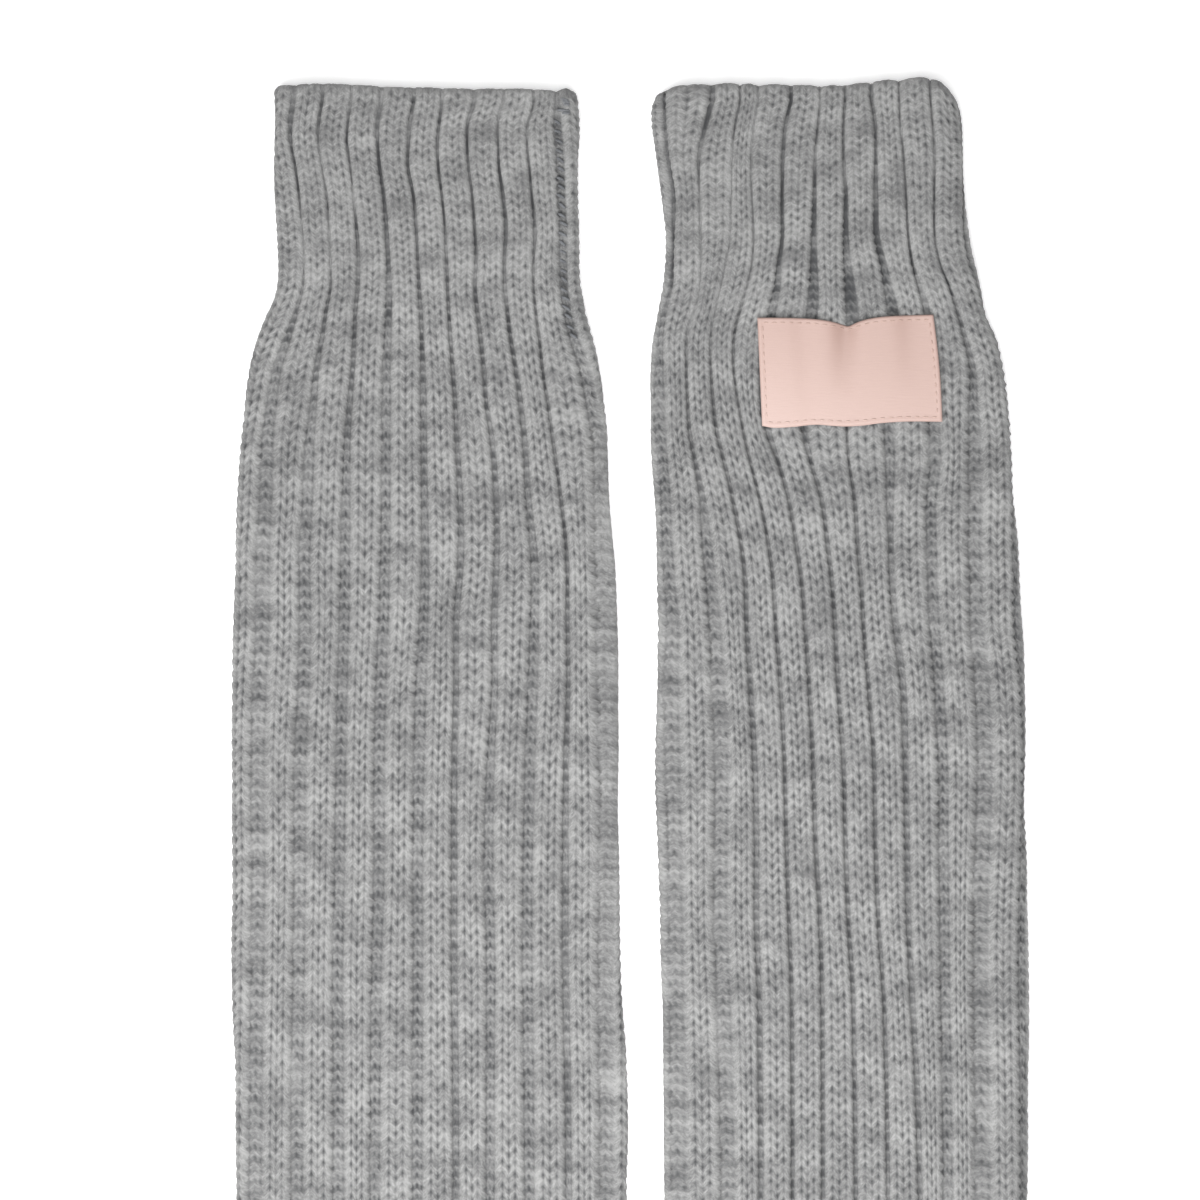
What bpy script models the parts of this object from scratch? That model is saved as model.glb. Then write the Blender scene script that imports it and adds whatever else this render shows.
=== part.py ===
"""A pair of grey rib-knit leg warmers, lying flat side by side, one with a bare satin label.

Each leg warmer is a knitted tube pressed flat: a long leg in 2 x 1 rib and, sewn to its top,
a narrower cuff of doubled cloth. X runs across the pair, +Y runs up to the cuffs and +Z is up.
The cloth rests on z = 0. All sizes below are in millimetres and become metres in one place.
"""

from collections import namedtuple
import math

import bpy
import numpy as np

MM = 0.001

# ---- driving dimensions ----
CUFF_LENGTH = 55.0
SEAM_GAP = 0.3
LEG_WARMER_LENGTH = 432.0
PAIR_TOP = 217.0  # the highest point of the pair, from its middle

RIB_RAISE = 1.1  # how far a rib stands above the groove beside it
SLIT = 0.8  # the gap left inside the flattened tube
SLIT_SHARE = 0.43  # height of the slit's middle, as a share of the whole thickness
EDGE_WALL = 2.5  # cloth between the slit's end and the outline
FOLD_ROUND = 3.0  # length over which the cuff's top fold rounds off
HEM_ROUND = 1.2  # the same at the plain hem
END_WALL_SHARE = 0.35  # how much of the wall is left at the very end of a fold
RIM_FADE = 45.0  # how far down the top edge's shape is still felt
GROOVES_OPEN_OVER = 30.0  # length below the cuff over which the grooves widen

SHOULDER = 0.9  # from the side of a groove to the shoulder of the rib
SHOULDER_LIMIT = 0.36  # the furthest a shoulder lies from its groove, as a share of the rib
EDGE_RIB_SHARES = (0.12, 0.42)  # places of the two points on the rib that turns under
SHOULDER_DROP = 0.22  # share of the rib's height lost at its shoulder
ROUND_TOP = 0.95  # width of the rounded side on top, as a share of the thickness
ROUND_UNDER = 0.55  # the same below, where the tube rests
ROUND_SLIT = 4.0  # width over which the slit closes at each side
UNDERSIDE_POINTS = 10
SLIT_POINTS = 7
CUFF_ROWS = 9
LEG_ROWS = 25
LEG_ROW_GROWTH = 1.5  # rows lie closer together near the cuff

LABEL_CLEARANCE = 0.35
LABEL_THICK = 1.0
LABEL_COLUMNS = 14
LABEL_ROWS = 6
LABEL_DIP = 2.0  # how far the top edge sags between its corners
LABEL_DIP_HALF = 0.4  # half the width of that sag, as a share of the label
LABEL_CORNER_ROUND = 0.25  # how much thinner the label is along its edge

# One row for each level down a leg warmer. from_top is counted down from its top edge; left
# and right are its two sides, from its own middle line; thick is the height over the ribs.
Level = namedtuple("Level", "from_top left right thick")

# One row for each groove between two ribs, from the left side to the right: its distance from
# the middle line at eight named levels, then its width in the cuff and in the leg.
Groove = namedtuple("Groove", "rim cuff cuff_end flare upper middle lower hem tight wide")

# One row for each point along the top edge: how far the edge lies below its highest point.
Rim = namedtuple("Rim", "across drop")

LegWarmer = namedtuple("LegWarmer", "side middle_x top_y scallop levels groove_levels grooves rim")

LEFT_LEVELS = (
    Level(0.0, -41.2, 40.2, 8.2),
    Level(5.0, -41.2, 40.9, 8.4),
    Level(20.0, -41.5, 40.7, 8.4),
    Level(41.0, -41.2, 41.1, 8.4),
    Level(55.0, -41.1, 41.7, 8.0),
    Level(58.0, -41.8, 42.4, 7.6),
    Level(63.0, -44.2, 43.3, 7.1),
    Level(69.0, -46.3, 45.0, 6.7),
    Level(80.0, -48.7, 47.3, 6.2),
    Level(91.0, -49.9, 48.4, 6.0),
    Level(112.0, -51.6, 49.6, 5.8),
    Level(134.0, -52.3, 51.1, 5.8),
    Level(198.0, -52.8, 51.9, 5.8),
    Level(252.0, -52.5, 52.8, 5.8),
    Level(268.0, -52.0, 54.0, 5.8),
    Level(330.0, -51.6, 52.8, 5.8),
    Level(432.0, -50.8, 50.8, 5.8),
)
LEFT_GROOVE_LEVELS = (6.0, 36.0, 55.0, 79.0, 127.0, 220.0, 269.0, 432.0)
LEFT_GROOVES = (
    Groove(-36.8, -34.6, -34.6, -40.5, -45.1, -46.5, -46.5, -45.0, 1.2, 4.2),
    Groove(-28.6, -26.8, -26.5, -31.1, -33.2, -34.9, -35.9, -35.2, 1.2, 4.0),
    Groove(-21.4, -19.2, -18.6, -20.5, -21.9, -24.1, -25.1, -25.2, 1.2, 3.8),
    Groove(-13.0, -10.5, -10.0, -10.8, -11.4, -13.5, -14.3, -14.8, 1.4, 3.8),
    Groove(-4.6, -2.7, -1.9, -1.1, -1.4, -2.7, -3.2, -4.4, 1.4, 3.6),
    Groove(3.8, 4.9, 5.4, 7.3, 8.9, 7.6, 7.6, 6.2, 1.2, 3.6),
    Groove(11.9, 13.0, 13.2, 15.7, 18.9, 17.3, 16.8, 16.4, 1.2, 3.4),
    Groove(19.5, 21.1, 21.4, 24.3, 28.6, 27.6, 26.5, 26.2, 1.2, 3.2),
    Groove(28.4, 29.2, 29.2, 32.2, 37.8, 37.6, 37.8, 36.2, 1.2, 2.6),
    Groove(35.1, 35.9, 37.0, 41.1, 47.6, 47.0, 48.4, 45.6, 2.4, 4.0),
)
LEFT_RIM = (
    Rim(-41.2, 0.9),
    Rim(-38.0, 0.2),
    Rim(-20.0, 0.0),
    Rim(-8.0, 0.7),
    Rim(12.0, 1.4),
    Rim(34.0, 1.7),
    Rim(40.2, 2.6),
)

RIGHT_LEVELS = (
    Level(0.0, -50.2, 30.6, 8.2),
    Level(4.0, -51.6, 31.8, 8.4),
    Level(9.0, -51.7, 32.5, 8.4),
    Level(16.0, -50.8, 32.8, 8.4),
    Level(27.0, -49.5, 32.8, 8.4),
    Level(38.0, -48.2, 33.6, 8.4),
    Level(46.0, -47.9, 34.9, 8.3),
    Level(56.0, -48.5, 37.5, 7.9),
    Level(65.0, -50.3, 39.8, 7.2),
    Level(70.0, -51.4, 42.0, 6.9),
    Level(81.0, -52.2, 44.6, 6.5),
    Level(92.0, -52.2, 45.9, 6.2),
    Level(113.0, -50.9, 46.8, 5.9),
    Level(135.0, -50.3, 48.3, 5.8),
    Level(157.0, -50.1, 49.5, 5.8),
    Level(179.0, -50.7, 50.2, 5.8),
    Level(200.0, -50.4, 49.9, 5.8),
    Level(222.0, -49.7, 50.4, 5.8),
    Level(270.0, -48.5, 50.5, 5.8),
    Level(330.0, -48.6, 50.2, 5.8),
    Level(432.0, -49.0, 49.0, 5.8),
)
RIGHT_GROOVE_LEVELS = (11.0, 32.0, 57.0, 97.0, 141.0, 189.0, 260.0, 432.0)
RIGHT_GROOVES = (
    Groove(-48.1, -45.4, -47.0, -47.8, -46.2, -46.5, -44.0, -43.6, 2.2, 4.4),
    Groove(-37.6, -38.9, -39.7, -40.8, -35.9, -33.0, -33.2, -33.6, 1.6, 2.6),
    Groove(-28.6, -30.8, -33.2, -33.5, -26.2, -23.2, -22.4, -23.6, 1.0, 1.8),
    Groove(-22.4, -24.6, -26.5, -25.7, -18.6, -15.4, -14.1, -14.8, 1.0, 1.6),
    Groove(-15.7, -16.5, -18.6, -18.1, -10.8, -7.8, -5.7, -6.2, 1.4, 1.6),
    Groove(-6.8, -7.8, -8.1, -8.9, -2.4, 0.3, 3.1, 2.8, 1.4, 1.8),
    Groove(0.8, 0.8, 1.9, 0.8, 5.4, 8.6, 11.6, 11.8, 1.4, 1.8),
    Groove(8.9, 9.2, 12.4, 11.1, 14.9, 17.3, 19.4, 20.8, 1.4, 2.2),
    Groove(16.2, 17.6, 20.5, 24.6, 24.6, 26.5, 27.6, 30.2, 1.2, 3.2),
    Groove(24.9, 25.1, 28.6, 34.9, 36.8, 37.6, 37.4, 39.8, 1.2, 4.2),
)
RIGHT_RIM = (
    Rim(-50.2, 4.6),
    Rim(-47.5, 3.0),
    Rim(-42.0, 2.2),
    Rim(-20.0, 2.0),
    Rim(0.0, 2.1),
    Rim(9.0, 1.2),
    Rim(17.0, 0.3),
    Rim(23.0, 0.0),
    Rim(27.0, 1.6),
    Rim(30.6, 5.6),
)

LEFT = LegWarmer(
    "left", -55.1, PAIR_TOP - 1.9, 0.35, LEFT_LEVELS, LEFT_GROOVE_LEVELS, LEFT_GROOVES, LEFT_RIM
)
RIGHT = LegWarmer(
    "right", 57.3, PAIR_TOP, 0.9, RIGHT_LEVELS, RIGHT_GROOVE_LEVELS, RIGHT_GROOVES, RIGHT_RIM
)

# The label's four corners: across from the right leg warmer's middle line, and down from its top.
Corner = namedtuple("Corner", "across from_top")
LABEL_CORNERS = {
    "top_left": Corner(-23.2, 65.1),
    "top_right": Corner(24.3, 64.3),
    "bottom_left": Corner(-21.9, 94.3),
    "bottom_right": Corner(26.8, 93.2),
}

COLOURS = {
    "grey heather knit": (0.36, 0.36, 0.36, 1.0),
    "pale pink satin": (0.83, 0.62, 0.56, 1.0),
}


# ---- reading the tables ----
def smooth(at, places, values):
    """A smooth curve through the table's rows, read at one place."""
    places = np.asarray(places, float)
    values = np.asarray(values, float)
    at = min(max(at, places[0]), places[-1])
    slopes = np.gradient(values, places)
    row = min(int(np.searchsorted(places, at, side="right")) - 1, len(places) - 2)
    span = places[row + 1] - places[row]
    t = (at - places[row]) / span
    rise = values[row] * (1 - 3 * t**2 + 2 * t**3) + values[row + 1] * (3 * t**2 - 2 * t**3)
    bend = slopes[row] * (t - 2 * t**2 + t**3) + slopes[row + 1] * (t**3 - t**2)
    return float(rise + bend * span)


def level_at(warmer, from_top):
    """The outline and thickness at one level, between the rows of the table."""
    places = [level.from_top for level in warmer.levels]
    columns = {
        name: smooth(from_top, places, [getattr(level, name) for level in warmer.levels])
        for name in ("left", "right", "thick")
    }
    return Level(from_top, **columns)


def grooves_at(warmer, from_top):
    """Each groove's place and half width at one level: thin in the cuff, wider in the leg."""
    widen = float(np.clip((from_top - CUFF_LENGTH) / GROOVES_OPEN_OVER, 0.0, 1.0))
    found = []
    for groove in warmer.grooves:
        across = smooth(from_top, warmer.groove_levels, groove[:8])
        found.append((across, 0.5 * (groove.tight + (groove.wide - groove.tight) * widen)))
    return found


def rim_drop(warmer, across):
    """How far the top edge lies below its highest point, at one place across."""
    places = [rim.across for rim in warmer.rim]
    return smooth(across, places, [rim.drop for rim in warmer.rim])


# ---- the section of a flattened tube ----
def rounded(inset, width):
    """Height of a quarter round, from 0 at the outline to 1 where the cloth lies flat."""
    reach = min(max(inset / width, 0.0), 1.0)
    return math.sqrt(1.0 - (1.0 - reach) ** 2)


def top_height(level, across, dent):
    """Height of the upper face. dent is 0 on a rib's crest and 1 in a groove."""
    inset = min(across - level.left, level.right - across)
    lift = rounded(inset, ROUND_TOP * level.thick)
    return level.thick * (0.5 + 0.5 * lift) - RIB_RAISE * dent * lift


def under_height(level, across):
    inset = min(across - level.left, level.right - across)
    return level.thick * (0.5 - 0.5 * rounded(inset, ROUND_UNDER * level.thick))


def slit_height(level, across, side):
    """Height of the slit's upper (side 1) or lower (side -1) face."""
    inset = min(across - level.left, level.right - across) - EDGE_WALL
    return level.thick * SLIT_SHARE + side * 0.5 * SLIT * rounded(inset, ROUND_SLIT)


def across_top(level, grooves):
    """Points along the upper face, left side to right, each with its dent."""
    first, first_half = grooves[0]
    last, last_half = grooves[-1]
    points = [(level.left, 0.0)]
    room = first - first_half - level.left
    points += [(level.left + share * room, 0.0) for share in EDGE_RIB_SHARES]
    for number, (middle, half) in enumerate(grooves):
        reach = half + SHOULDER
        before = grooves[number - 1][0] if number else level.left
        after = grooves[number + 1][0] if number + 1 < len(grooves) else level.right
        back = min(reach, SHOULDER_LIMIT * (middle - before))
        ahead = min(reach, SHOULDER_LIMIT * (after - middle))
        points.append((middle - back, SHOULDER_DROP))
        points.append((middle, 1.0))
        points.append((middle + ahead, SHOULDER_DROP))
        if number + 1 < len(grooves):
            points.append((0.5 * (middle + after), 0.0))
    room = level.right - last - last_half
    points += [(level.right - share * room, 0.0) for share in EDGE_RIB_SHARES[::-1]]
    points.append((level.right, 0.0))
    return points


def slit_ring(level):
    """The inside of the tube: a thin lens, left end first, then along its top and back."""
    start = level.left + EDGE_WALL
    stop = level.right - EDGE_WALL
    turns = np.linspace(0.0, math.pi, SLIT_POINTS + 2)
    spread = [start + (stop - start) * 0.5 * (1.0 - math.cos(turn)) for turn in turns]
    upper = [(x, slit_height(level, x, 1.0)) for x in spread]
    lower = [(x, slit_height(level, x, -1.0)) for x in spread[-2:0:-1]]
    return upper + lower


def wall_share(from_top):
    """How much of the wall's thickness stands at this level, less where an end rounds off."""
    top = rounded(from_top, FOLD_ROUND)
    hem = rounded(LEG_WARMER_LENGTH - from_top, HEM_ROUND)
    return END_WALL_SHARE + (1.0 - END_WALL_SHARE) * min(top, hem)


def outer_ring(level, grooves):
    """The outside of the tube, left side first, over the top and back underneath."""
    share = wall_share(level.from_top)
    ring = []
    for across, dent in across_top(level, grooves):
        inner = slit_height(level, across, 1.0)
        outer = top_height(level, across, dent)
        ring.append((across, inner + (outer - inner) * share, dent))
    turns = np.linspace(0.0, math.pi, UNDERSIDE_POINTS + 2)[1:-1]
    width = level.right - level.left
    for turn in turns:
        across = level.right - width * 0.5 * (1.0 - math.cos(turn))
        inner = slit_height(level, across, -1.0)
        outer = under_height(level, across)
        ring.append((across, inner + (outer - inner) * share, 0.0))
    trim = (1.0 - share) * EDGE_WALL * 0.5
    middle = 0.5 * (level.left + level.right)
    squeeze = 1.0 - trim / (0.5 * width)
    return [(middle + (x - middle) * squeeze, z, dent) for x, z, dent in ring]


# ---- lofting ----
def placed(warmer, from_top, across, height, dent):
    """A point of the leg warmer in the pair's own frame, in metres."""
    fade = max(0.0, 1.0 - from_top / RIM_FADE) ** 2
    drop = (rim_drop(warmer, across) + warmer.scallop * dent) * fade
    y = warmer.top_y - from_top - drop
    return ((warmer.middle_x + across) * MM, y * MM, height * MM)


def cap(outer, inner, outer_shares, inner_shares):
    """Triangles between an outer and an inner ring that have unlike numbers of points."""
    faces = []
    i = j = 0
    while i < len(outer) or j < len(inner):
        next_outer = outer_shares[i + 1] if i + 1 < len(outer) else 1.0
        next_inner = inner_shares[j + 1] if j + 1 < len(inner) else 1.0
        a = outer[i % len(outer)]
        b = inner[j % len(inner)]
        if j >= len(inner) or (i < len(outer) and next_outer <= next_inner):
            faces.append((a, outer[(i + 1) % len(outer)], b))
            i += 1
        else:
            faces.append((a, inner[(j + 1) % len(inner)], b))
            j += 1
    return faces


def ring_shares(level, ring):
    """How far round each point lies: half a turn over the top, half a turn back underneath."""
    width = level.right - level.left
    shares = []
    highest = max(range(len(ring)), key=lambda number: ring[number][0])
    for number, point in enumerate(ring):
        run = (point[0] - level.left) / width
        shares.append(0.5 * run if number <= highest else 1.0 - 0.5 * run)
    return shares


def loft(warmer, stations):
    """Points and faces of one closed tube through the given levels."""
    points = []
    faces = []
    rows = []
    for from_top in stations:
        level = level_at(warmer, from_top)
        outside = outer_ring(level, grooves_at(warmer, from_top))
        inside = slit_ring(level)
        first = len(points)
        points += [placed(warmer, from_top, x, z, dent) for x, z, dent in outside]
        points += [placed(warmer, from_top, x, z, 0.0) for x, z in inside]
        outer = list(range(first, first + len(outside)))
        inner = list(range(first + len(outside), len(points)))
        rows.append((outer, inner, ring_shares(level, outside), ring_shares(level, inside)))
    for above, below in zip(rows, rows[1:]):
        for ring in (0, 1):
            upper = above[ring]
            lower = below[ring]
            count = len(upper)
            for k in range(count):
                n = (k + 1) % count
                quad = (upper[k], upper[n], lower[n], lower[k])
                faces.append(quad[::-1] if ring == 0 else quad)
    top_cap = cap(*rows[0])
    hem_cap = cap(*rows[-1])
    faces += top_cap
    faces += [face[::-1] for face in hem_cap]
    return points, faces


# ---- the label ----
def label_point(u, v, lift):
    """A point on the label: u across, v down, lifted clear of the ribs it is sewn over."""
    top_left = LABEL_CORNERS["top_left"]
    top_right = LABEL_CORNERS["top_right"]
    bottom_left = LABEL_CORNERS["bottom_left"]
    bottom_right = LABEL_CORNERS["bottom_right"]
    top = top_left.across + (top_right.across - top_left.across) * u
    bottom = bottom_left.across + (bottom_right.across - bottom_left.across) * u
    across = top + (bottom - top) * v
    top = top_left.from_top + (top_right.from_top - top_left.from_top) * u
    bottom = bottom_left.from_top + (bottom_right.from_top - bottom_left.from_top) * u
    sag = LABEL_DIP * max(0.0, 1.0 - abs(u - 0.5) / LABEL_DIP_HALF) ** 1.5
    from_top = top + sag * (1.0 - v) ** 2 + (bottom - top) * v
    height = top_height(level_at(RIGHT, from_top), across, 0.0) + LABEL_CLEARANCE + lift
    return placed(RIGHT, from_top, across, height, 0.0)


def label_grid():
    """Points and faces of the label: an upper and a lower sheet joined round their edge."""
    points = []
    faces = []
    across = LABEL_COLUMNS + 1
    sheet = across * (LABEL_ROWS + 1)
    for lift in (0.0, LABEL_THICK):
        for row in range(LABEL_ROWS + 1):
            for column in range(across):
                edge = row in (0, LABEL_ROWS) or column in (0, LABEL_COLUMNS)
                thinner = LABEL_CORNER_ROUND * LABEL_THICK if edge and lift else 0.0
                u = column / LABEL_COLUMNS
                points.append(label_point(u, row / LABEL_ROWS, lift - thinner))
    for row in range(LABEL_ROWS):
        for column in range(LABEL_COLUMNS):
            a = row * across + column
            quad = (a, a + 1, a + across + 1, a + across)
            faces.append(quad)
            faces.append(tuple(corner + sheet for corner in quad[::-1]))
    edge = list(range(across))
    edge += [row * across + LABEL_COLUMNS for row in range(1, LABEL_ROWS + 1)]
    edge += [LABEL_ROWS * across + column for column in range(LABEL_COLUMNS - 1, -1, -1)]
    edge += [row * across for row in range(LABEL_ROWS - 1, 0, -1)]
    for a, b in zip(edge, edge[1:] + edge[:1]):
        faces.append((b, a, a + sheet, b + sheet))
    return points, faces


# ---- objects ----
def clear_scene():
    for thing in list(bpy.data.objects):
        bpy.data.objects.remove(thing, do_unlink=True)


def cloth_material(name):
    material = bpy.data.materials.new(name)
    material.use_nodes = True
    shader = material.node_tree.nodes["Principled BSDF"]
    shader.inputs["Base Color"].default_value = COLOURS[name]
    shader.inputs["Roughness"].default_value = 0.95 if "knit" in name else 0.5
    shader.inputs["Metallic"].default_value = 0.0
    return material


def add_piece(collection, name, points, faces, material):
    mesh = bpy.data.meshes.new(name)
    mesh.from_pydata(points, [], faces)
    mesh.materials.append(material)
    mesh.shade_smooth()
    mesh.set_sharp_from_angle(angle=math.radians(50.0))
    piece = bpy.data.objects.new(name, mesh)
    collection.objects.link(piece)
    return piece


def cuff_stations():
    """Levels down the cuff, close together where the folded edge rounds off."""
    fold = [0.0, 0.12 * FOLD_ROUND, 0.45 * FOLD_ROUND, FOLD_ROUND]
    return fold + list(np.linspace(FOLD_ROUND, CUFF_LENGTH, CUFF_ROWS)[1:])


def leg_stations():
    """Levels down the leg, close together below the cuff where the tube flares."""
    start = CUFF_LENGTH + SEAM_GAP
    stop = LEG_WARMER_LENGTH - HEM_ROUND
    steps = np.linspace(0.0, 1.0, LEG_ROWS) ** LEG_ROW_GROWTH
    return list(start + (stop - start) * steps) + [LEG_WARMER_LENGTH]


def main():
    clear_scene()
    collection = bpy.data.collections.new("leg_warmers")
    bpy.context.scene.collection.children.link(collection)
    knit = cloth_material("grey heather knit")
    satin = cloth_material("pale pink satin")
    for warmer in (LEFT, RIGHT):
        add_piece(collection, warmer.side + "_cuff", *loft(warmer, cuff_stations()), knit)
        add_piece(collection, warmer.side + "_leg", *loft(warmer, leg_stations()), knit)
    add_piece(collection, "label", *label_grid(), satin)


main()
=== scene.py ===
# %% [markdown]
# # A pair of rib-knit leg warmers
#
# The real pair is knitted in thick grey heather yarn: two tubes in 2 x 1 rib, each with a
# narrower doubled cuff, and a small satin label sewn to one of them. The solids that are loaded
# here give its size and its place. This script puts knitted cloth and satin on them: every
# stitch is a small relief in a mesh that follows the flattened tube.

import math
from collections import namedtuple

import bpy
import numpy as np
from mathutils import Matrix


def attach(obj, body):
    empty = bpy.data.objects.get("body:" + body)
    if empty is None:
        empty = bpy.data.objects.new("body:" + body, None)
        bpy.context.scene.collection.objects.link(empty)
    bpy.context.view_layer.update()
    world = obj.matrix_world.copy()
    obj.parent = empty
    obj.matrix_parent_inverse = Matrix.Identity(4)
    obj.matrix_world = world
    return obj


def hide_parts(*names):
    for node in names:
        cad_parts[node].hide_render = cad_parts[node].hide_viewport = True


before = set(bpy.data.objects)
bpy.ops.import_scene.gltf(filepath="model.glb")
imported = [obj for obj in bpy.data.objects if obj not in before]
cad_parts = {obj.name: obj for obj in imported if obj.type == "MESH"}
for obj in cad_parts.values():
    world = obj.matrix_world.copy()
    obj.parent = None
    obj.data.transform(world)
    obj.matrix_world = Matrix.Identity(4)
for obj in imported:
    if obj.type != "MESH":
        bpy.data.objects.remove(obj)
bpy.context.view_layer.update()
print("solids:", sorted(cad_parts))

# %% [markdown]
# ## Sizes of the tube
#
# A garment pattern is a table: how wide the tube is at each level, and where each groove of the
# rib runs. Lengths are in millimetres, counted down from the top edge and across from the
# middle line of each leg warmer. Anything between two rows is read from a smooth curve, so a
# short table gives a soft outline.

# %% Named sizes
MM = 0.001
CUFF_LENGTH = 55.0
LENGTH = 432.0
PAIR_TOP = 217.0
RIM_FADE = 45.0  # how far down the top edge's shape is still felt
SCALLOP_FADE = 7.0  # the same for the small notch where each groove meets the edge

Level = namedtuple("Level", "from_top left right thick")
Grooves = namedtuple("Grooves", "from_top g1 g2 g3 g4 g5 g6 g7 g8 g9 g10")
Rim = namedtuple("Rim", "across drop")
Warmer = namedtuple(
    "Warmer", "side middle_x top_y rim_depth rim_scallop leg_row first_wale last_wale seam_wale "
    "levels grooves widths rim"
)


def rows_of(kind, rows):
    """A table whose columns have names."""
    return tuple(kind(*row) for row in rows)


# %% The left leg warmer
LEFT_LEVELS = rows_of(Level, (
    (0.0, -41.2, 40.2, 8.2),
    (5.0, -41.2, 40.9, 8.4),
    (20.0, -41.5, 40.7, 8.4),
    (41.0, -41.2, 41.1, 8.4),
    (55.0, -41.1, 41.7, 8.0),
    (58.0, -41.8, 42.4, 7.6),
    (63.0, -44.2, 43.3, 7.1),
    (69.0, -46.3, 45.0, 6.7),
    (80.0, -48.7, 47.3, 6.2),
    (91.0, -49.9, 48.4, 6.0),
    (112.0, -51.6, 49.6, 5.8),
    (134.0, -52.3, 51.1, 5.8),
    (198.0, -52.8, 51.9, 5.8),
    (252.0, -52.5, 52.8, 5.8),
    (268.0, -52.0, 54.0, 5.8),
    (330.0, -51.6, 52.8, 5.8),
    (432.0, -50.8, 50.8, 5.8),
))
LEFT_GROOVES = rows_of(Grooves, (
    (3.0, -36.0, -28.1, -20.3, -12.2, -3.5, 4.1, 12.9, 20.9, 28.9, 35.1),
    (5.1, -36.3, -28.4, -20.6, -12.5, -3.8, 3.9, 12.4, 20.1, 28.6, 35.1),
    (9.7, -36.9, -29.2, -21.3, -13.3, -4.6, 3.3, 11.0, 19.2, 27.3, 35.1),
    (15.1, -36.9, -29.4, -21.7, -13.4, -5.0, 2.8, 10.8, 19.2, 27.0, 35.5),
    (21.9, -35.7, -28.5, -20.8, -12.9, -5.2, 3.0, 11.2, 19.4, 27.6, 35.9),
    (30.0, -34.6, -27.1, -19.9, -11.7, -3.7, 4.0, 12.2, 20.5, 28.3, 36.2),
    (39.5, -33.7, -26.4, -19.0, -11.0, -2.9, 4.9, 12.9, 21.3, 29.2, 36.7),
    (47.6, -33.3, -26.0, -18.5, -10.5, -2.5, 5.3, 13.3, 20.9, 28.8, 36.7),
    (54.3, -33.5, -26.0, -18.7, -10.3, -2.2, 5.5, 12.9, 21.0, 28.8, 36.9),
    (61.1, -35.3, -27.3, -19.4, -10.5, -1.8, 5.8, 13.5, 21.6, 29.3, 37.8),
    (67.8, -37.5, -28.3, -19.7, -10.7, -1.5, 6.2, 14.3, 22.4, 30.2, 39.4),
    (77.3, -40.6, -30.0, -20.2, -11.1, -1.2, 6.9, 15.3, 24.0, 31.2, 42.4),
    (85.4, -41.9, -30.7, -20.9, -11.1, -1.1, 7.5, 15.9, 25.1, 32.5, 44.0),
    (96.2, -43.3, -31.8, -21.7, -11.2, -1.0, 8.0, 17.5, 26.3, 34.0, 45.9),
    (112.4, -43.8, -32.5, -22.0, -11.3, -0.8, 8.9, 18.6, 27.3, 36.2, 46.7),
    (128.6, -44.6, -33.3, -22.3, -11.5, -0.6, 9.0, 18.7, 28.9, 37.8, 47.1),
    (144.9, -44.6, -33.1, -22.5, -11.9, -1.0, 7.8, 18.1, 28.9, 37.9, 47.7),
    (161.1, -45.4, -33.5, -23.0, -12.6, -1.8, 7.8, 18.2, 28.5, 38.1, 47.8),
    (182.7, -46.0, -34.5, -23.4, -13.1, -2.3, 7.3, 17.1, 27.7, 37.5, 48.3),
    (209.7, -45.8, -34.6, -23.8, -13.1, -2.7, 7.2, 16.5, 27.1, 37.3, 48.3),
    (236.8, -46.0, -34.9, -24.3, -13.8, -2.6, 7.2, 17.1, 27.0, 37.3, 47.9),
    (263.8, -46.4, -35.2, -24.2, -14.1, -2.7, 7.5, 17.0, 27.3, 37.8, 48.1),
    (432.0, -46.4, -35.2, -24.2, -14.1, -2.7, 7.5, 17.0, 27.3, 37.8, 48.1),
))
LEFT_WIDTHS = rows_of(Grooves, (
    (3.0, 2.0, 1.1, 0.8, 1.5, 1.4, 1.1, 1.6, 0.8, 0.8, 1.4),
    (9.7, 2.0, 1.2, 0.9, 1.5, 1.4, 1.1, 1.2, 0.8, 0.8, 3.2),
    (17.8, 0.9, 0.4, 0.9, 1.2, 1.1, 1.1, 0.9, 0.8, 0.8, 3.2),
    (30.0, 0.9, 0.8, 0.5, 1.4, 1.2, 0.9, 0.9, 1.4, 0.9, 3.1),
    (39.5, 0.4, 0.5, 1.2, 1.6, 1.1, 0.9, 1.1, 1.5, 1.4, 3.0),
    (47.6, 0.4, 0.5, 1.4, 1.6, 0.9, 1.1, 1.4, 1.2, 0.8, 3.0),
    (58.4, 1.1, 1.2, 1.4, 2.5, 1.5, 1.2, 1.5, 1.4, 0.9, 3.0),
    (69.2, 2.9, 1.6, 1.5, 2.9, 1.6, 1.4, 1.6, 1.5, 1.1, 3.8),
    (85.4, 3.8, 2.5, 2.0, 3.4, 2.5, 1.6, 1.6, 1.9, 1.1, 4.0),
    (101.6, 4.8, 4.0, 2.9, 3.4, 2.5, 1.9, 2.0, 2.0, 1.2, 4.8),
    (128.6, 5.4, 4.4, 3.8, 3.8, 2.9, 2.5, 2.2, 2.9, 1.4, 6.1),
    (161.1, 5.4, 4.8, 4.0, 4.4, 4.4, 2.0, 2.5, 4.0, 1.6, 6.8),
    (209.7, 5.4, 4.8, 4.0, 4.4, 4.0, 2.5, 3.8, 4.0, 2.5, 5.8),
    (263.8, 5.1, 4.8, 4.4, 4.0, 4.0, 2.5, 3.4, 4.0, 2.5, 5.4),
))
LEFT_RIM = rows_of(Rim, (
    (-41.2, 0.3),
    (-38.0, 0.1),
    (-20.0, 0.0),
    (-8.0, 0.7),
    (12.0, 1.3),
    (33.0, 1.6),
    (35.5, 1.9),
    (38.0, 1.2),
    (40.2, 2.1),
))

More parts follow.
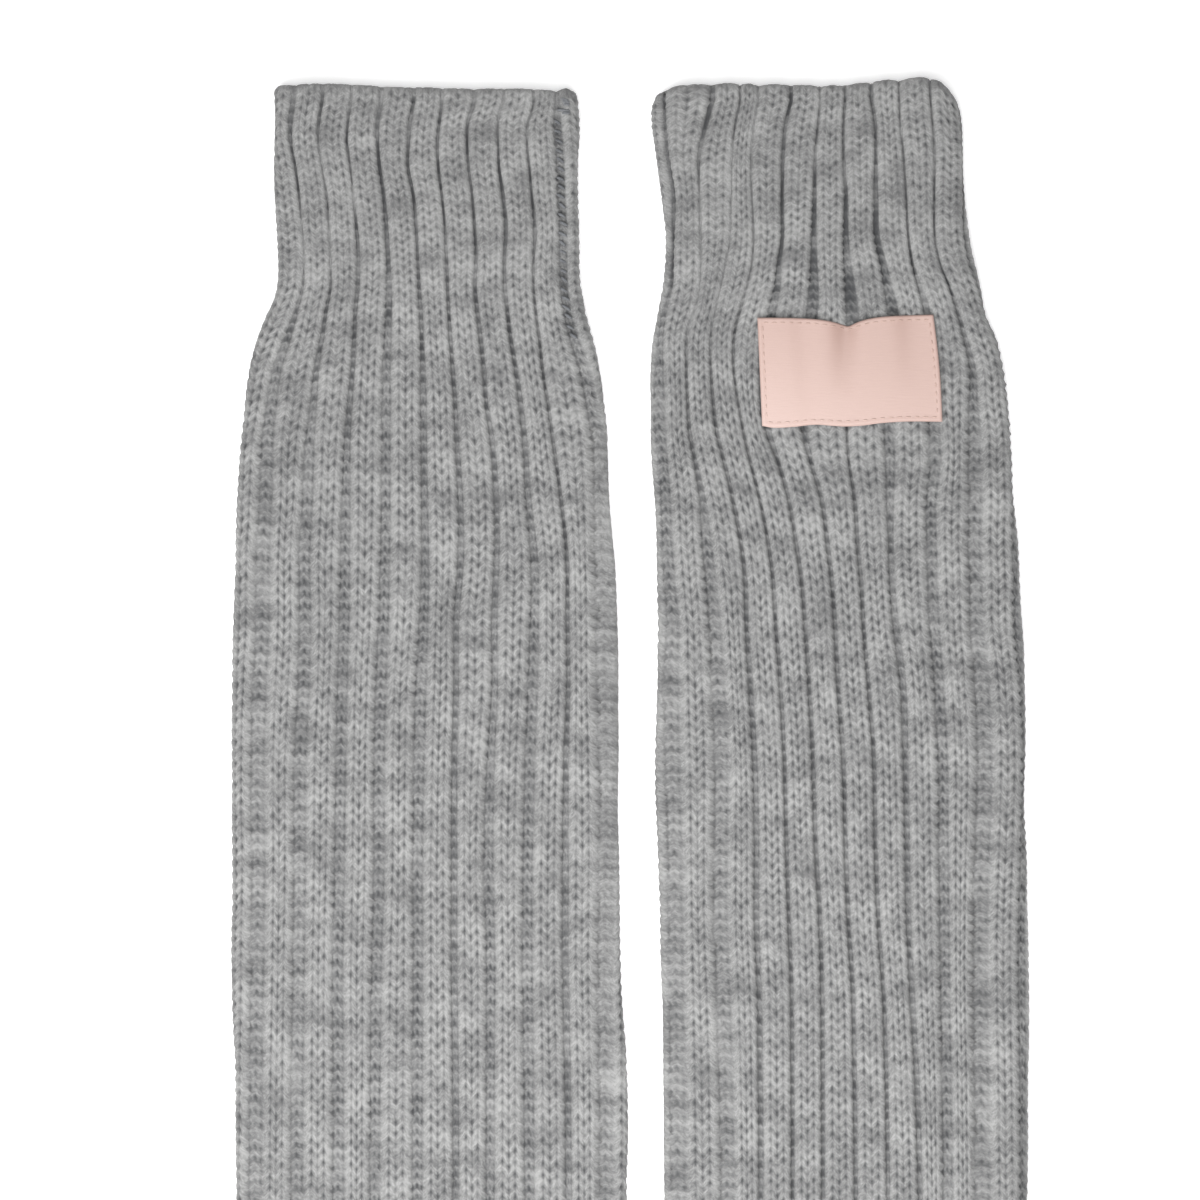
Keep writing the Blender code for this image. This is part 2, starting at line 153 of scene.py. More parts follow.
# %% The right leg warmer
RIGHT_LEVELS = rows_of(Level, (
    (0.0, -50.2, 30.6, 8.2),
    (4.0, -51.6, 31.8, 8.4),
    (9.0, -51.7, 32.5, 8.4),
    (16.0, -50.8, 32.8, 8.4),
    (27.0, -49.5, 32.8, 8.4),
    (38.0, -48.2, 33.6, 8.4),
    (46.0, -47.9, 34.9, 8.3),
    (56.0, -48.5, 37.5, 7.9),
    (65.0, -50.3, 39.8, 7.2),
    (70.0, -51.4, 42.0, 6.9),
    (81.0, -52.2, 44.6, 6.5),
    (92.0, -52.2, 45.9, 6.2),
    (113.0, -50.9, 46.8, 5.9),
    (135.0, -50.3, 48.3, 5.8),
    (157.0, -50.1, 49.5, 5.8),
    (179.0, -50.7, 50.2, 5.8),
    (200.0, -50.4, 49.9, 5.8),
    (222.0, -49.7, 50.4, 5.8),
    (270.0, -48.5, 50.5, 5.8),
    (330.0, -48.6, 50.2, 5.8),
    (432.0, -49.0, 49.0, 5.8),
))
RIGHT_GROOVES = rows_of(Grooves, (
    (4.9, -48.4, -35.4, -27.8, -23.0, -14.1, -6.2, 0.5, 7.6, 15.1, 23.5),
    (11.6, -48.1, -37.0, -29.1, -24.1, -15.5, -6.8, 0.1, 8.6, 15.4, 24.1),
    (19.7, -47.4, -38.8, -30.0, -24.9, -16.2, -7.5, 0.1, 8.8, 16.2, 24.7),
    (31.9, -45.9, -38.8, -30.3, -24.6, -16.5, -7.8, 0.7, 8.8, 17.0, 24.6),
    (44.9, -46.1, -38.5, -30.8, -24.2, -16.6, -8.0, 0.7, 9.3, 17.8, 25.0),
    (50.8, -46.2, -38.5, -31.9, -24.7, -17.4, -8.0, 1.1, 10.8, 18.8, 26.3),
    (56.2, -46.5, -38.9, -33.0, -25.8, -17.8, -8.0, 1.6, 11.9, 20.5, 28.5),
    (61.6, -47.8, -39.7, -34.3, -27.4, -18.9, -8.2, 2.2, 13.0, 22.2, 30.4),
    (68.4, -49.2, -41.9, -35.6, -29.2, -20.3, -9.2, 2.4, 13.8, 23.2, 32.4),
    (79.2, -49.7, -42.3, -35.7, -29.5, -21.4, -10.3, 1.9, 13.5, 23.5, 35.0),
    (87.3, -49.7, -42.0, -35.1, -28.4, -21.4, -10.8, 1.3, 12.7, 23.8, 35.2),
    (95.4, -49.5, -41.5, -34.2, -27.0, -20.3, -10.5, 1.1, 12.4, 24.6, 35.4),
    (103.5, -48.7, -40.0, -32.2, -25.1, -17.6, -8.7, 1.6, 12.7, 24.9, 35.4),
    (114.3, -48.0, -38.0, -29.7, -22.4, -14.6, -5.7, 3.2, 12.7, 23.8, 35.7),
    (125.1, -47.6, -37.0, -27.7, -20.3, -12.8, -4.3, 3.9, 12.9, 23.9, 35.4),
    (135.9, -47.0, -35.9, -26.4, -18.9, -11.2, -3.0, 4.9, 13.2, 24.2, 35.8),
    (146.8, -46.2, -34.9, -26.1, -18.2, -10.3, -2.2, 5.5, 14.1, 24.6, 35.9),
    (163.0, -46.5, -33.9, -25.1, -17.0, -9.2, -1.4, 6.8, 16.1, 25.8, 37.3),
    (184.6, -46.2, -33.0, -23.9, -15.8, -8.1, 0.1, 8.4, 16.9, 26.9, 38.1),
    (206.2, -45.7, -33.2, -23.4, -15.3, -7.4, 0.7, 8.8, 17.3, 27.1, 37.6),
    (227.8, -45.4, -33.2, -23.4, -14.6, -6.2, 1.5, 9.6, 17.7, 27.4, 37.0),
    (249.5, -45.1, -32.4, -22.6, -13.8, -5.6, 2.8, 11.1, 18.8, 27.6, 37.0),
    (265.7, -44.9, -31.9, -22.4, -13.7, -5.5, 3.1, 11.6, 19.7, 27.9, 37.3),
    (432.0, -44.9, -31.9, -22.4, -13.7, -5.5, 3.1, 11.6, 19.7, 27.9, 37.3),
))
RIGHT_WIDTHS = rows_of(Grooves, (
    (4.9, 1.2, 2.0, 0.8, 0.4, 1.3, 0.6, 0.9, 1.4, 0.7, 0.75),
    (11.6, 1.2, 1.8, 0.8, 0.4, 1.3, 0.8, 0.9, 1.2, 0.7, 0.75),
    (19.7, 1.0, 1.2, 0.4, 0.5, 1.3, 0.9, 0.9, 1.1, 0.7, 0.8),
    (31.9, 1.6, 0.5, 0.2, 0.6, 1.3, 1.5, 1.5, 1.7, 0.75, 0.8),
    (44.9, 1.3, 0.5, 0.2, 0.6, 1.4, 2.2, 2.3, 2.3, 0.85, 0.75),
    (50.8, 1.3, 0.5, 0.2, 0.7, 1.8, 2.8, 3.1, 2.6, 1.1, 0.75),
    (56.2, 1.6, 0.4, 0.2, 0.8, 2.4, 3.5, 3.9, 3.2, 1.6, 0.9),
    (61.6, 1.6, 0.5, 0.3, 1.0, 3.1, 4.1, 4.5, 4.2, 2.4, 1.2),
    (68.4, 1.9, 0.8, 0.7, 1.0, 3.4, 4.3, 4.6, 4.5, 2.8, 1.6),
    (87.3, 4.2, 1.1, 1.1, 0.8, 3.2, 3.5, 3.8, 4.1, 3.6, 3.4),
    (95.4, 4.0, 1.4, 1.4, 0.9, 2.5, 2.5, 0.9, 4.0, 4.4, 4.8),
    (103.5, 3.4, 1.6, 1.4, 1.1, 1.4, 1.6, 0.9, 3.8, 4.4, 4.8),
    (114.3, 4.0, 2.5, 1.4, 1.1, 1.4, 1.6, 1.4, 2.9, 4.0, 5.1),
    (125.1, 4.0, 3.8, 1.4, 1.2, 1.4, 1.6, 1.4, 2.0, 4.0, 5.1),
    (146.8, 4.8, 4.8, 1.6, 1.4, 1.5, 1.6, 1.5, 2.5, 4.0, 5.1),
    (163.0, 5.8, 5.1, 2.0, 1.4, 1.5, 1.6, 1.5, 2.5, 4.0, 5.8),
    (184.6, 5.8, 5.4, 2.0, 1.4, 1.6, 1.6, 1.5, 2.2, 4.0, 5.8),
    (265.7, 5.8, 5.4, 2.0, 1.5, 1.6, 1.6, 1.5, 2.0, 3.8, 5.8),
))
RIGHT_RIM = rows_of(Rim, (
    (-50.2, 4.6),
    (-47.5, 3.0),
    (-42.0, 2.2),
    (-20.0, 2.0),
    (0.0, 2.1),
    (9.0, 1.2),
    (17.0, 0.3),
    (23.0, 0.0),
    (27.0, 1.6),
    (30.6, 5.6),
))

LEFT = Warmer(
    "left", -55.1, PAIR_TOP - 1.9, 0.2, 0.3, 3.05, -1, 30, 28,
    LEFT_LEVELS, LEFT_GROOVES, LEFT_WIDTHS, LEFT_RIM,
)
RIGHT = Warmer(
    "right", 57.3, PAIR_TOP, 0.6, 1.3, 2.96, 0, 32, None,
    RIGHT_LEVELS, RIGHT_GROOVES, RIGHT_WIDTHS, RIGHT_RIM,
)


# %% Reading a table along a smooth curve
def read_column(rows, name):
    """A table's first column, and the named one."""
    return np.array([row[0] for row in rows]), np.array([getattr(row, name) for row in rows])


def curve(at, rows, name):
    """A smooth curve through a table's column, read at every place in an array."""
    places, values = read_column(rows, name)
    at = np.clip(at, places[0], places[-1])
    slopes = np.gradient(values, places)
    row = np.clip(np.searchsorted(places, at, side="right") - 1, 0, len(places) - 2)
    span = places[row + 1] - places[row]
    t = (at - places[row]) / span
    rise = values[row] * (1 - 3 * t**2 + 2 * t**3) + values[row + 1] * (3 * t**2 - 2 * t**3)
    return rise + span * (slopes[row] * (t - 2 * t**2 + t**3) + slopes[row + 1] * (t**3 - t**2))


print("left leg is", LEFT_LEVELS[12].right - LEFT_LEVELS[12].left, "mm across")

# %% [markdown]
# ## Counting the stitches
#
# A knitter counts columns of stitches, called wales, and rows. The tube has 60 wales: twenty
# times two knit wales and one purl wale, which sinks between them and makes the groove. The
# rows are closer together in the cuff, because the doubled cloth is knitted tighter. Here each
# row is given its real height, and the rows are then counted off down the tube.

# %% Stitch counts
WALES = 60  # all round the tube
REPEAT = 3  # knit, purl, knit: wale 1 of each three is the purl one
CUFF_ROW = 2.45
SWELL_FROM = 50.0  # level from which the rows grow to the leg's height
SWELL_TO = 85.0
CUFF_ROWS = 22
ROWS_INSIDE_RIM = 4  # rows that roll over the top edge into the mouth
ROWS_INSIDE_HEM = 2
SPARE_ROWS = 10.0  # the count goes on this far past both ends


def row_scale(warmer):
    """Matching lists: row numbers, and the level at which each row starts."""
    level = np.linspace(0.0, LENGTH, 4001)
    tall = np.interp(level, [0.0, SWELL_FROM, SWELL_TO], [CUFF_ROW, CUFF_ROW, warmer.leg_row])
    steps = np.diff(level) * 0.5 * (1 / tall[1:] + 1 / tall[:-1])
    count = np.concatenate([[0.0], np.cumsum(steps)])
    at_cuff = np.interp(CUFF_LENGTH, level, count)
    leg_rows = round(count[-1] - at_cuff)
    in_cuff = count * CUFF_ROWS / at_cuff
    in_leg = CUFF_ROWS + (count - at_cuff) * leg_rows / (count[-1] - at_cuff)
    count = np.where(level < CUFF_LENGTH, in_cuff, in_leg)
    count = np.concatenate([[-SPARE_ROWS], count, [count[-1] + SPARE_ROWS]])
    end = LENGTH + SPARE_ROWS * warmer.leg_row
    level = np.concatenate([[-SPARE_ROWS * CUFF_ROW], level, [end]])
    return count, level, CUFF_ROWS + leg_rows


for warmer in (LEFT, RIGHT):
    print(warmer.side, "rows:", row_scale(warmer)[2])

# %% [markdown]
# ## One stitch as a relief
#
# A knit stitch shows two strands that lean together like a roof, and small dark holes where
# four strands meet. A rib of two knit wales has three columns of holes: one in the middle of
# each wale, and one between them, half a row lower. Its outermost strands stand up as a bright
# line. A purl stitch shows a low arch, with a hole under it and one at each of its feet. So a
# stitch is a small table: a row for each quarter of a stitch, and columns across the wale.

# %% Heights of a stitch
ROW_STEPS = 4  # mesh rows in one row of stitches
COLUMNS = 6  # steps across a wale in the tables
Knit = namedtuple("Knit", "between in_strand in_edge middle out_edge out_strand border")
Purl = namedtuple("Purl", "border foot arch middle")
KNIT = rows_of(Knit, (
    (0.00, 0.66, 0.66, 0.00, 0.66, 0.90, 0.70),
    (0.42, 0.85, 1.00, 0.42, 1.00, 1.00, 0.90),
    (0.78, 1.00, 1.00, 0.78, 1.00, 0.92, 1.00),
    (0.42, 1.00, 0.85, 0.42, 0.85, 0.80, 0.80),
))
PURL = rows_of(Purl, (
    (0.60, 0.14, 0.56, 0.04),
    (0.65, 0.28, 0.44, 0.18),
    (0.88, 0.76, 0.70, 0.88),
    (0.80, 0.62, 0.86, 0.62),
))
LADDER = rows_of(Purl, (  # a purl stitch between two ribs that nearly meet: one hole and one bar
    (0.60, 0.50, 0.42, 0.42),
    (0.60, 0.55, 0.48, 0.48),
    (0.85, 0.95, 1.00, 1.00),
    (0.70, 0.65, 0.62, 0.62),
))
SLANT = 0.25  # the row line rises and falls by this share of a row across a wale
WEAVE_ASIDE = 0.10  # how far a strand bends round the holes, as a share of half a wale
SCALLOP = 0.34  # how far each stitch of a rib's edge bulges into the groove, as a share of it
STRAND = 0.85  # how far a strand stands above the holes beside it, in millimetres


def stitch_height(number, part, row, narrow):
    """Height from 0 to 1. number: 0 and 2 are knit wales, 1 is purl. part: 0 to 1 across it."""
    quarter = np.round(row * ROW_STEPS).astype(int) % ROW_STEPS
    from_rib_middle = np.where(number == 0, part, 1.0 - part)
    knit = np.array(KNIT)[quarter, np.round(from_rib_middle * COLUMNS).astype(int)]
    from_border = np.round((0.5 - np.abs(part - 0.5)) * COLUMNS).astype(int)
    purl = np.array(PURL)[quarter, from_border]
    purl = purl + narrow * (np.array(LADDER)[quarter, from_border] - purl)
    return np.where(number == 1, purl, knit)


# %% [markdown]
# ## Wales round the tube
#
# The mesh has columns of points all round the flattened tube: six to a wale on the upper side,
# which is seen most, and four underneath. Each level of the tube is a flat oval, and a place on
# it is counted as a share of the way round, from the left side over the top. The grooves' table
# fixes the wales that it names; those that turn under share the rest of the way evenly, as the
# springy rib does by itself.

# %% The oval at each level
SIDE_ROOM = 0.55  # the strands reach out to the outline by this much
ROUND_TOP = 0.95  # width of the rounded side on top, as a share of the thickness
ROUND_UNDER = 0.55
GRID = np.linspace(0.0, LENGTH, 865)  # the levels of the look-up tables
OVAL_POINTS = 300
TABLE_STEPS = 1200


def rounded(inset, width):
    """A quarter round: 0 at the outline, 1 where the cloth lies flat."""
    reach = np.clip(inset / width, 0.0, 1.0)
    return np.sqrt(1.0 - (1.0 - reach) ** 2)


def oval_tables(warmer):
    """Look-up tables by level: x and height round the oval, and where each wale starts."""
    left = curve(GRID, warmer.levels, "left") + SIDE_ROOM
    right = curve(GRID, warmer.levels, "right") - SIDE_ROOM
    thick = curve(GRID, warmer.levels, "thick")
    turn = 0.5 * (1.0 - np.cos(np.linspace(0.0, np.pi, OVAL_POINTS)))
    across = left[:, None] + (right - left)[:, None] * turn
    inset = np.minimum(across - left[:, None], right[:, None] - across)
    tall = thick[:, None]
    over = 0.5 * tall + (0.5 * tall - STRAND) * rounded(inset, ROUND_TOP * tall)
    under = 0.5 * tall - (0.5 * tall - STRAND) * rounded(inset, ROUND_UNDER * tall)
    x = np.concatenate([across, across[:, -2::-1]], axis=1)
    height = np.concatenate([over, under[:, -2::-1]], axis=1)
    run = np.hypot(np.diff(x, axis=1), np.diff(height, axis=1)).cumsum(axis=1)
    run = np.concatenate([np.zeros((len(GRID), 1)), run], axis=1)
    girth = run[:, -1]

    known = []
    for name in Grooves._fields[1:]:
        middle = curve(GRID, warmer.grooves, name)
        half = 0.5 * np.interp(GRID, *read_column(warmer.widths, name))
        if known:
            known.append(0.5 * (known[-1] + middle - half))
        known += [middle - half, middle + half]
    share = np.array([
        [np.interp(edge[i], across[i], run[i, :OVAL_POINTS]) / girth[i] for edge in known]
        for i in range(len(GRID))
    ]).T
    wide = np.diff(share, axis=0)
    purl_wide = wide[0::REPEAT].mean(axis=0)
    knit_wide = np.concatenate([wide[1::REPEAT], wide[2::REPEAT]]).mean(axis=0)
    rest = [purl_wide if k % REPEAT == 1 else knit_wide for k in range(len(known), WALES + 1)]
    rest = np.array(rest) / np.sum(rest, axis=0) * (1.0 - (share[-1] - share[0]))
    starts = np.concatenate([share, share[-1] + np.cumsum(rest, axis=0)])
    starts = np.concatenate([starts[WALES - 1][None] - 1.0, starts[:WALES]])
    even = np.linspace(0.0, 1.0, TABLE_STEPS + 1)
    x = np.array([np.interp(even * girth[i], run[i], x[i]) for i in range(len(GRID))])
    height = np.array([np.interp(even * girth[i], run[i], height[i]) for i in range(len(GRID))])
    return {"x": x, "height": height, "starts": starts, "girth": girth}


def look_up(table, level_spot, column_spot):
    """A value between four neighbours of a table."""
    i = np.clip(np.floor(level_spot).astype(int), 0, table.shape[0] - 2)
    j = np.clip(np.floor(column_spot).astype(int), 0, table.shape[1] - 2)
    a = level_spot - i
    b = column_spot - j
    upper = table[i, j] * (1 - b) + table[i, j + 1] * b
    lower = table[i + 1, j] * (1 - b) + table[i + 1, j + 1] * b
    return upper * (1 - a) + lower * a


# %% [markdown]
# ## The flattened tube
#
# Each point of the lattice is first put on the smooth tube, then moved out along the tube's own
# normal by the height of its stitch, and in by the depth of its groove. At the top edge the
# cloth rolls over and goes back inside the mouth, as a doubled cuff does, and at the hem it
# makes a small plain turn.

# %% Point of the smooth tube
RIM_ROLL = 1.45  # radius of the cloth's turn at the top edge
HEM_ROLL = 1.2
NOTCH_HALF = 1.3  # wales to each side over which a groove notches the top edge


def smooth_tube(warmer, tables, wale, from_top):
    """Points of the tube without stitches, in millimetres, and the width of each one's wale."""
    spot = from_top / GRID[1]
    starts = tables["starts"].T
    number = np.floor(wale).astype(int) % WALES
    low = look_up(starts, spot, number.astype(float))
    ends = np.concatenate([starts[:, 1:], starts[:, :1] + 1.0], axis=1)
    high = look_up(ends, spot, number.astype(float))
    share = low + (high - low) * (wale - np.floor(wale))
    around = (share % 1.0) * TABLE_STEPS
    across = look_up(tables["x"], spot, around)
    height = look_up(tables["height"], spot, around)
    fade = np.clip(1.0 - from_top / RIM_FADE, 0.0, 1.0) ** 2
    drop = curve(across, warmer.rim, "drop")
    to_groove = np.abs((wale - 1.5 + 0.5 * REPEAT) % REPEAT - 0.5 * REPEAT)
    notch = warmer.rim_scallop * np.clip(1.0 - to_groove / NOTCH_HALF, 0.0, 1.0) ** 1.5
    notch = notch * (0.6 + 0.4 * np.sin(2.4 * np.floor(wale / REPEAT) + 1.0))  # no two alike
    drop = drop * fade + notch * np.clip(1.0 - from_top / SCALLOP_FADE, 0.0, 1.0)
    y = warmer.top_y - from_top - drop
    girth = np.interp(from_top, GRID, tables["girth"])
    return np.stack([warmer.middle_x + across, y, height], axis=-1), (high - low) * girth


def normals_of(points):
    """Outward normals of a closed ring of columns."""
    along = np.gradient(points, axis=0)
    wrapped = np.concatenate([points[:, -1:], points, points[:, :1]], axis=1)
    around = wrapped[:, 2:] - wrapped[:, :-2]
    normal = np.cross(along, around)
    return normal / np.linalg.norm(normal, axis=-1, keepdims=True)


# %% [markdown]
# ## Uneven hands
#
# No two stitches are quite alike. A few slow waves let the rows wander up and down, each rib
# runs a little ahead of or behind the next, and every hole is a little deeper or shallower. All
# of it comes from one seeded generator, so that the cloth is the same each time.

# %% Unevenness
SEED = 11
RIB_LEAD = 0.22  # rows by which one rib may run ahead of another
HOLE_RANGE = (0.50, 1.25)
CUFF_TIGHT = 0.80  # the cuff's holes are this deep, set against the leg's
WANDER = ((30, 41.0, 0.30), (12, 23.0, 0.14), (6.7, 13.0, 0.09))  # wales long, rows long, size


def slow_noise(wale, row, chance, sizes):
    """A sum of slanting waves, each row of sizes: wales long, rows long, height."""
    total = 0.0
    for wales_long, rows_long, size in sizes:
        times_round = max(1, round(WALES / wales_long))
        start = chance.uniform(0.0, 2.0 * np.pi)
        turn = 2.0 * np.pi * (times_round * wale / WALES + row / rows_long)
        total = total + size * np.sin(turn + start)
    return total


def rows_wander(wale, row, chance):
    """How many rows early or late each stitch comes: slow waves, and each rib's own lead."""
    waves = slow_noise(wale, row, chance, WANDER)
    ribs = WALES // REPEAT
    lead = chance.uniform(-RIB_LEAD, RIB_LEAD, ribs)
    places = np.arange(-1, ribs + 2) * REPEAT
    return waves + np.interp(wale % WALES, places, np.concatenate([[lead[-1]], lead, lead[:2]]))


def by_half_stitch(wale, row, draw):
    """Numbers drawn for each half stitch: every point takes the nearest one."""
    first = int(np.floor(row.min())) - 1
    drawn = draw((int(np.ceil(row.max())) - first + 3, 2 * WALES))
    return drawn[np.round(row).astype(int) - first, np.round(2.0 * wale).astype(int) % (2 * WALES)]


def each_hole(wale, row, chance):
    """One random size for each hole, the same for all the points around it."""
    return by_half_stitch(wale, row, lambda size: chance.uniform(*HOLE_RANGE, size))


HEATHER_REACH = (1.0, 2.0, 3.0, 2.0, 1.0)  # a shade lasts for a few half stitches


def heather(wale, row, chance):
    """Shade of the yarn. Each row is one thread, lighter here and darker there."""
    def thread_shades(size):
        shades = chance.normal(0.0, 1.0, size)
        shades = sum(w * np.roll(shades, i, axis=1) for i, w in enumerate(HEATHER_REACH))
        return shades / np.linalg.norm(HEATHER_REACH)

    return by_half_stitch(wale, row, thread_shades)


# %% [markdown]
# ## Where the yarn runs
#
# The mesh is a lattice: four rows of points to a row of stitches, and six columns to a wale on
# the upper side. The strands rise and fall like a roof across each wale and bend round the
# holes, and at a rib's edge each stitch bulges into the groove.

# %% Bend the yarn
FACE_STEPS = 6  # mesh columns in a wale of the upper side
BACK_STEPS = 4
ARCH_FLAT = 0.3  # a purl stitch's arch leans less than the knit strands do
BAR_FLAT = 0.85  # in a narrow groove the bars of the ladder lie nearly straight across
BULGE_RIGHT = 0.3  # share of the bulge at the groove's right side


def lattice(warmer, last_row):
    """Row and wale of every point, and how many columns lie on the upper side."""
    rows = np.arange(-ROWS_INSIDE_RIM * ROW_STEPS, (last_row + ROWS_INSIDE_HEM) * ROW_STEPS + 1)
    face = np.arange(warmer.first_wale * FACE_STEPS, warmer.last_wale * FACE_STEPS) / FACE_STEPS
    back_end = warmer.first_wale + WALES
    back = np.arange(warmer.last_wale * BACK_STEPS, back_end * BACK_STEPS) / BACK_STEPS
    ring = np.concatenate([face, back]) + 1e-9  # just clear of the wales' borders
    row, wale = np.meshgrid(rows / ROW_STEPS, ring, indexing="ij")
    return row, wale, len(face)


def bend_yarn(row, wale, number, part, narrow, uneven):
    """Row and wale of each point once the strands lean, bend and bulge."""
    across_wale = 1.0 - np.abs(2.0 * part - 1.0)
    flat = ARCH_FLAT + (BAR_FLAT - ARCH_FLAT) * narrow
    slant = SLANT * np.where(number == 1, 1.0 - flat, 1.0)
    slanted = row + SLANT - 2.0 * slant * across_wale
    strand_share = 1.0 - (2.0 * across_wale - 1.0) ** 2
    aside = WEAVE_ASIDE * strand_share * np.cos(2.0 * np.pi * (slanted - SLANT))
    bulge = SCALLOP * (0.5 - 0.5 * np.cos(2.0 * np.pi * row)) * (uneven - 0.2)
    bulge = bulge * np.clip(1.0 - COLUMNS * part, 0.0, 1.0)
    bulge = bulge * np.where(number == 1, 1.0, np.where(number == 2, -BULGE_RIGHT, 0.0))
    return slanted, wale + np.where(part < 0.5, 0.5, -0.5) * aside + bulge


# %% [markdown]
# ## Onto the tube
#
# The bent lattice is laid on the smooth tube. Where the cloth rolls over the top edge or the
# hem, the level stays and the angle grows instead.

# %% Roll over the edges
TURN_FROM = RIM_ROLL + SIDE_ROOM  # level at which the cloth starts to roll in at the top
TURN_TO = LENGTH - HEM_ROLL - SIDE_ROOM  # and at the hem


def roll_over(placed, normal, past, radius, way):
    """Turns the cloth over an edge: past is how far along it lies beyond where the turn starts."""
    along = np.array([0.0, way, 0.0])
    angle = np.clip(past / radius, 0.0, np.pi)[..., None]
    inside = np.maximum(past - np.pi * radius, 0.0)[..., None]
    turned = np.cos(angle) * normal + np.sin(angle) * along
    return placed + radius * (turned - normal) - inside * along, turned


def lay_on_tube(warmer, tables, wale, bent, level):
    """Where each point lies, the way it faces, and how far it has turned in, from 0 to 1."""
    from_top = np.clip(level, TURN_FROM, TURN_TO)
    placed = smooth_tube(warmer, tables, bent, from_top)[0]
    even = np.linspace(TURN_FROM, TURN_TO, len(wale))
    normal = normals_of(smooth_tube(warmer, tables, wale, even[:, None] + 0.0 * wale)[0])
    facing, angle = normal, 0.0
    past_top = np.maximum(TURN_FROM - level, 0.0)
    past_hem = np.maximum(level - TURN_TO, 0.0)
    for past, radius, way in ((past_top, RIM_ROLL, 1.0), (past_hem, HEM_ROLL, -1.0)):
        placed, turned = roll_over(placed, normal, past, radius, way)
        facing = np.where(past[..., None] > 0.0, turned, facing)
        angle = angle + past / radius
    return placed, facing, np.clip(angle / np.pi, 0.0, 1.0)


# %% [markdown]
# ## Grooves
#
# The groove is the purl wale, sunk below the ribs: wide and shallow in the leg, narrow and deep
# in the cuff, where the ribs nearly touch. Little light comes back out of it, and that shade is
# painted into the yarn's colour: a number is worked out here, which paints holes darker than the
# bars between them, most clearly in the cuff and in narrow grooves.

# %% Depth and painted shade of a groove
RIB_CROWN = 0.45  # a rib's sides lie this much lower than its middle
GROOVE_SHALLOW = 0.95  # depth of a wide groove
GROOVE_DEEP = 1.5  # depth of a narrow one
GROOVE_WALL = 1.6  # above 1 the groove has steep walls and a flat bottom
OPEN_AT = 1.0  # a groove this wide is open, and at CLOSED_AT the ribs have met over it
CLOSED_AT = 0.45
RIM_REACH = 2.2  # grooves start this far below the top edge and are open at twice that


def rib_depth(number, part, narrow):
    """How far each point lies below the ribs' highest line, and how much of that is groove."""
    from_rib_middle = np.where(number == 0, part, np.where(number == 2, 1.0 - part, 1.0))
    crown = RIB_CROWN * from_rib_middle**2.5
    depth = GROOVE_SHALLOW + (GROOVE_DEEP - GROOVE_SHALLOW) * narrow
    dip = np.where(number == 1, np.clip(GROOVE_WALL * np.sin(np.pi * part), 0.0, 1.0), 0.0)
    return crown + (depth - crown) * dip, dip


def opening(warmer, number, width, level):
    """1 where a groove is open, less where the ribs have met over it or the edge is near."""
    below_rim = np.clip((level - RIM_REACH) / RIM_REACH, 0.0, 1.0)
    below_rim = warmer.rim_depth + (1.0 - warmer.rim_depth) * below_rim
    apart = np.clip((width - CLOSED_AT) / (OPEN_AT - CLOSED_AT), 0.0, 1.0)
    return below_rim * np.where(number == 1, apart, 1.0)


def groove_shade(relief, uneven, calm, narrow, deep, in_cuff):
    """Painted shade of each point by its place in the groove, before chance beads it."""
    dotted = np.maximum(narrow, in_cuff)
    holes = 1.25 + 0.50 * dotted - 0.25 * calm
    bars = 0.85 + 0.45 * dotted - 0.80 * calm
    by_chance = (0.5 + 0.6 * dotted) * (uneven - np.mean(HOLE_RANGE))
    by_depth = (0.36 + 0.50 * deep) * (0.72 + in_cuff * (0.80 - 0.62 * narrow))
    return (holes - bars * relief) * (1.0 + by_chance) * by_depth


# %% [markdown]
# ## Knitting the tube
#
# Now everything comes together. Each point moves out along the tube's normal by its stitch and
# in by its groove. The cuff is knitted tighter, so its holes are shallower, most of all at the
# top edge. The last column is the first one again, which closes the tube.

# %% The whole tube
WIDE_AT = 3.6
NARROW_AT = 1.6
CUFF_CALM = 0.45  # in the tightest part of the cuff the bars hardly show
CALM_TO = (44.0, 60.0)  # levels between which the bars come out
TIGHT_LEVELS = (0.8, 2.6, SWELL_FROM, SWELL_TO)
HOLE_DEPTHS = (0.45, CUFF_TIGHT, CUFF_TIGHT, 1.0)  # at these levels
CUFF_DEEP = 0.9  # grooves of the cuff are deep even where they are wide
CUFF_TO = 76.0  # level at which the last of the cuff's look is gone
STRETCHED = (3.8, 5.8)  # a purl band this wide gets less painted shade, as light reaches all of it
SEAM_STRETCH = 1.8  # the wale that the seam ends in gets less painted shade still
FLAT_LIGHTER = 0.5  # share of its painted shade that a wide band loses, and half of that in its holes
SEWN_SHALLOW = 0.3  # share of the groove that the seam's stitches fill
# share of the groove's painted shade that the seam's stitches take away
SEWN_LIGHTER = 0.6
BEADS = ((3, 17.0, 0.20), (4, 9.5, 0.16), (7, 5.3, 0.12))  # a groove's depth and painted shade come and go
BEAD_MEAN = 0.80
BEAD_LEG = 0.30  # strength of the beads in the leg; the cuff adds 1
PUFFS = ((15, 27.0, 0.10), (9, 15.0, 0.08), (5, 9.0, 0.05))  # slow swells of the cloth
PRESSED = 0.75  # share of the relief that is lost where the cloth has turned in
REST = 0.03  # height at which the underside is pressed flat


def fading(level, gone_at, over):
    """1 high up, 0 from a level down, with a slope of so many millimetres before it."""
    return np.clip((gone_at - level) / over, 0.0, 1.0)


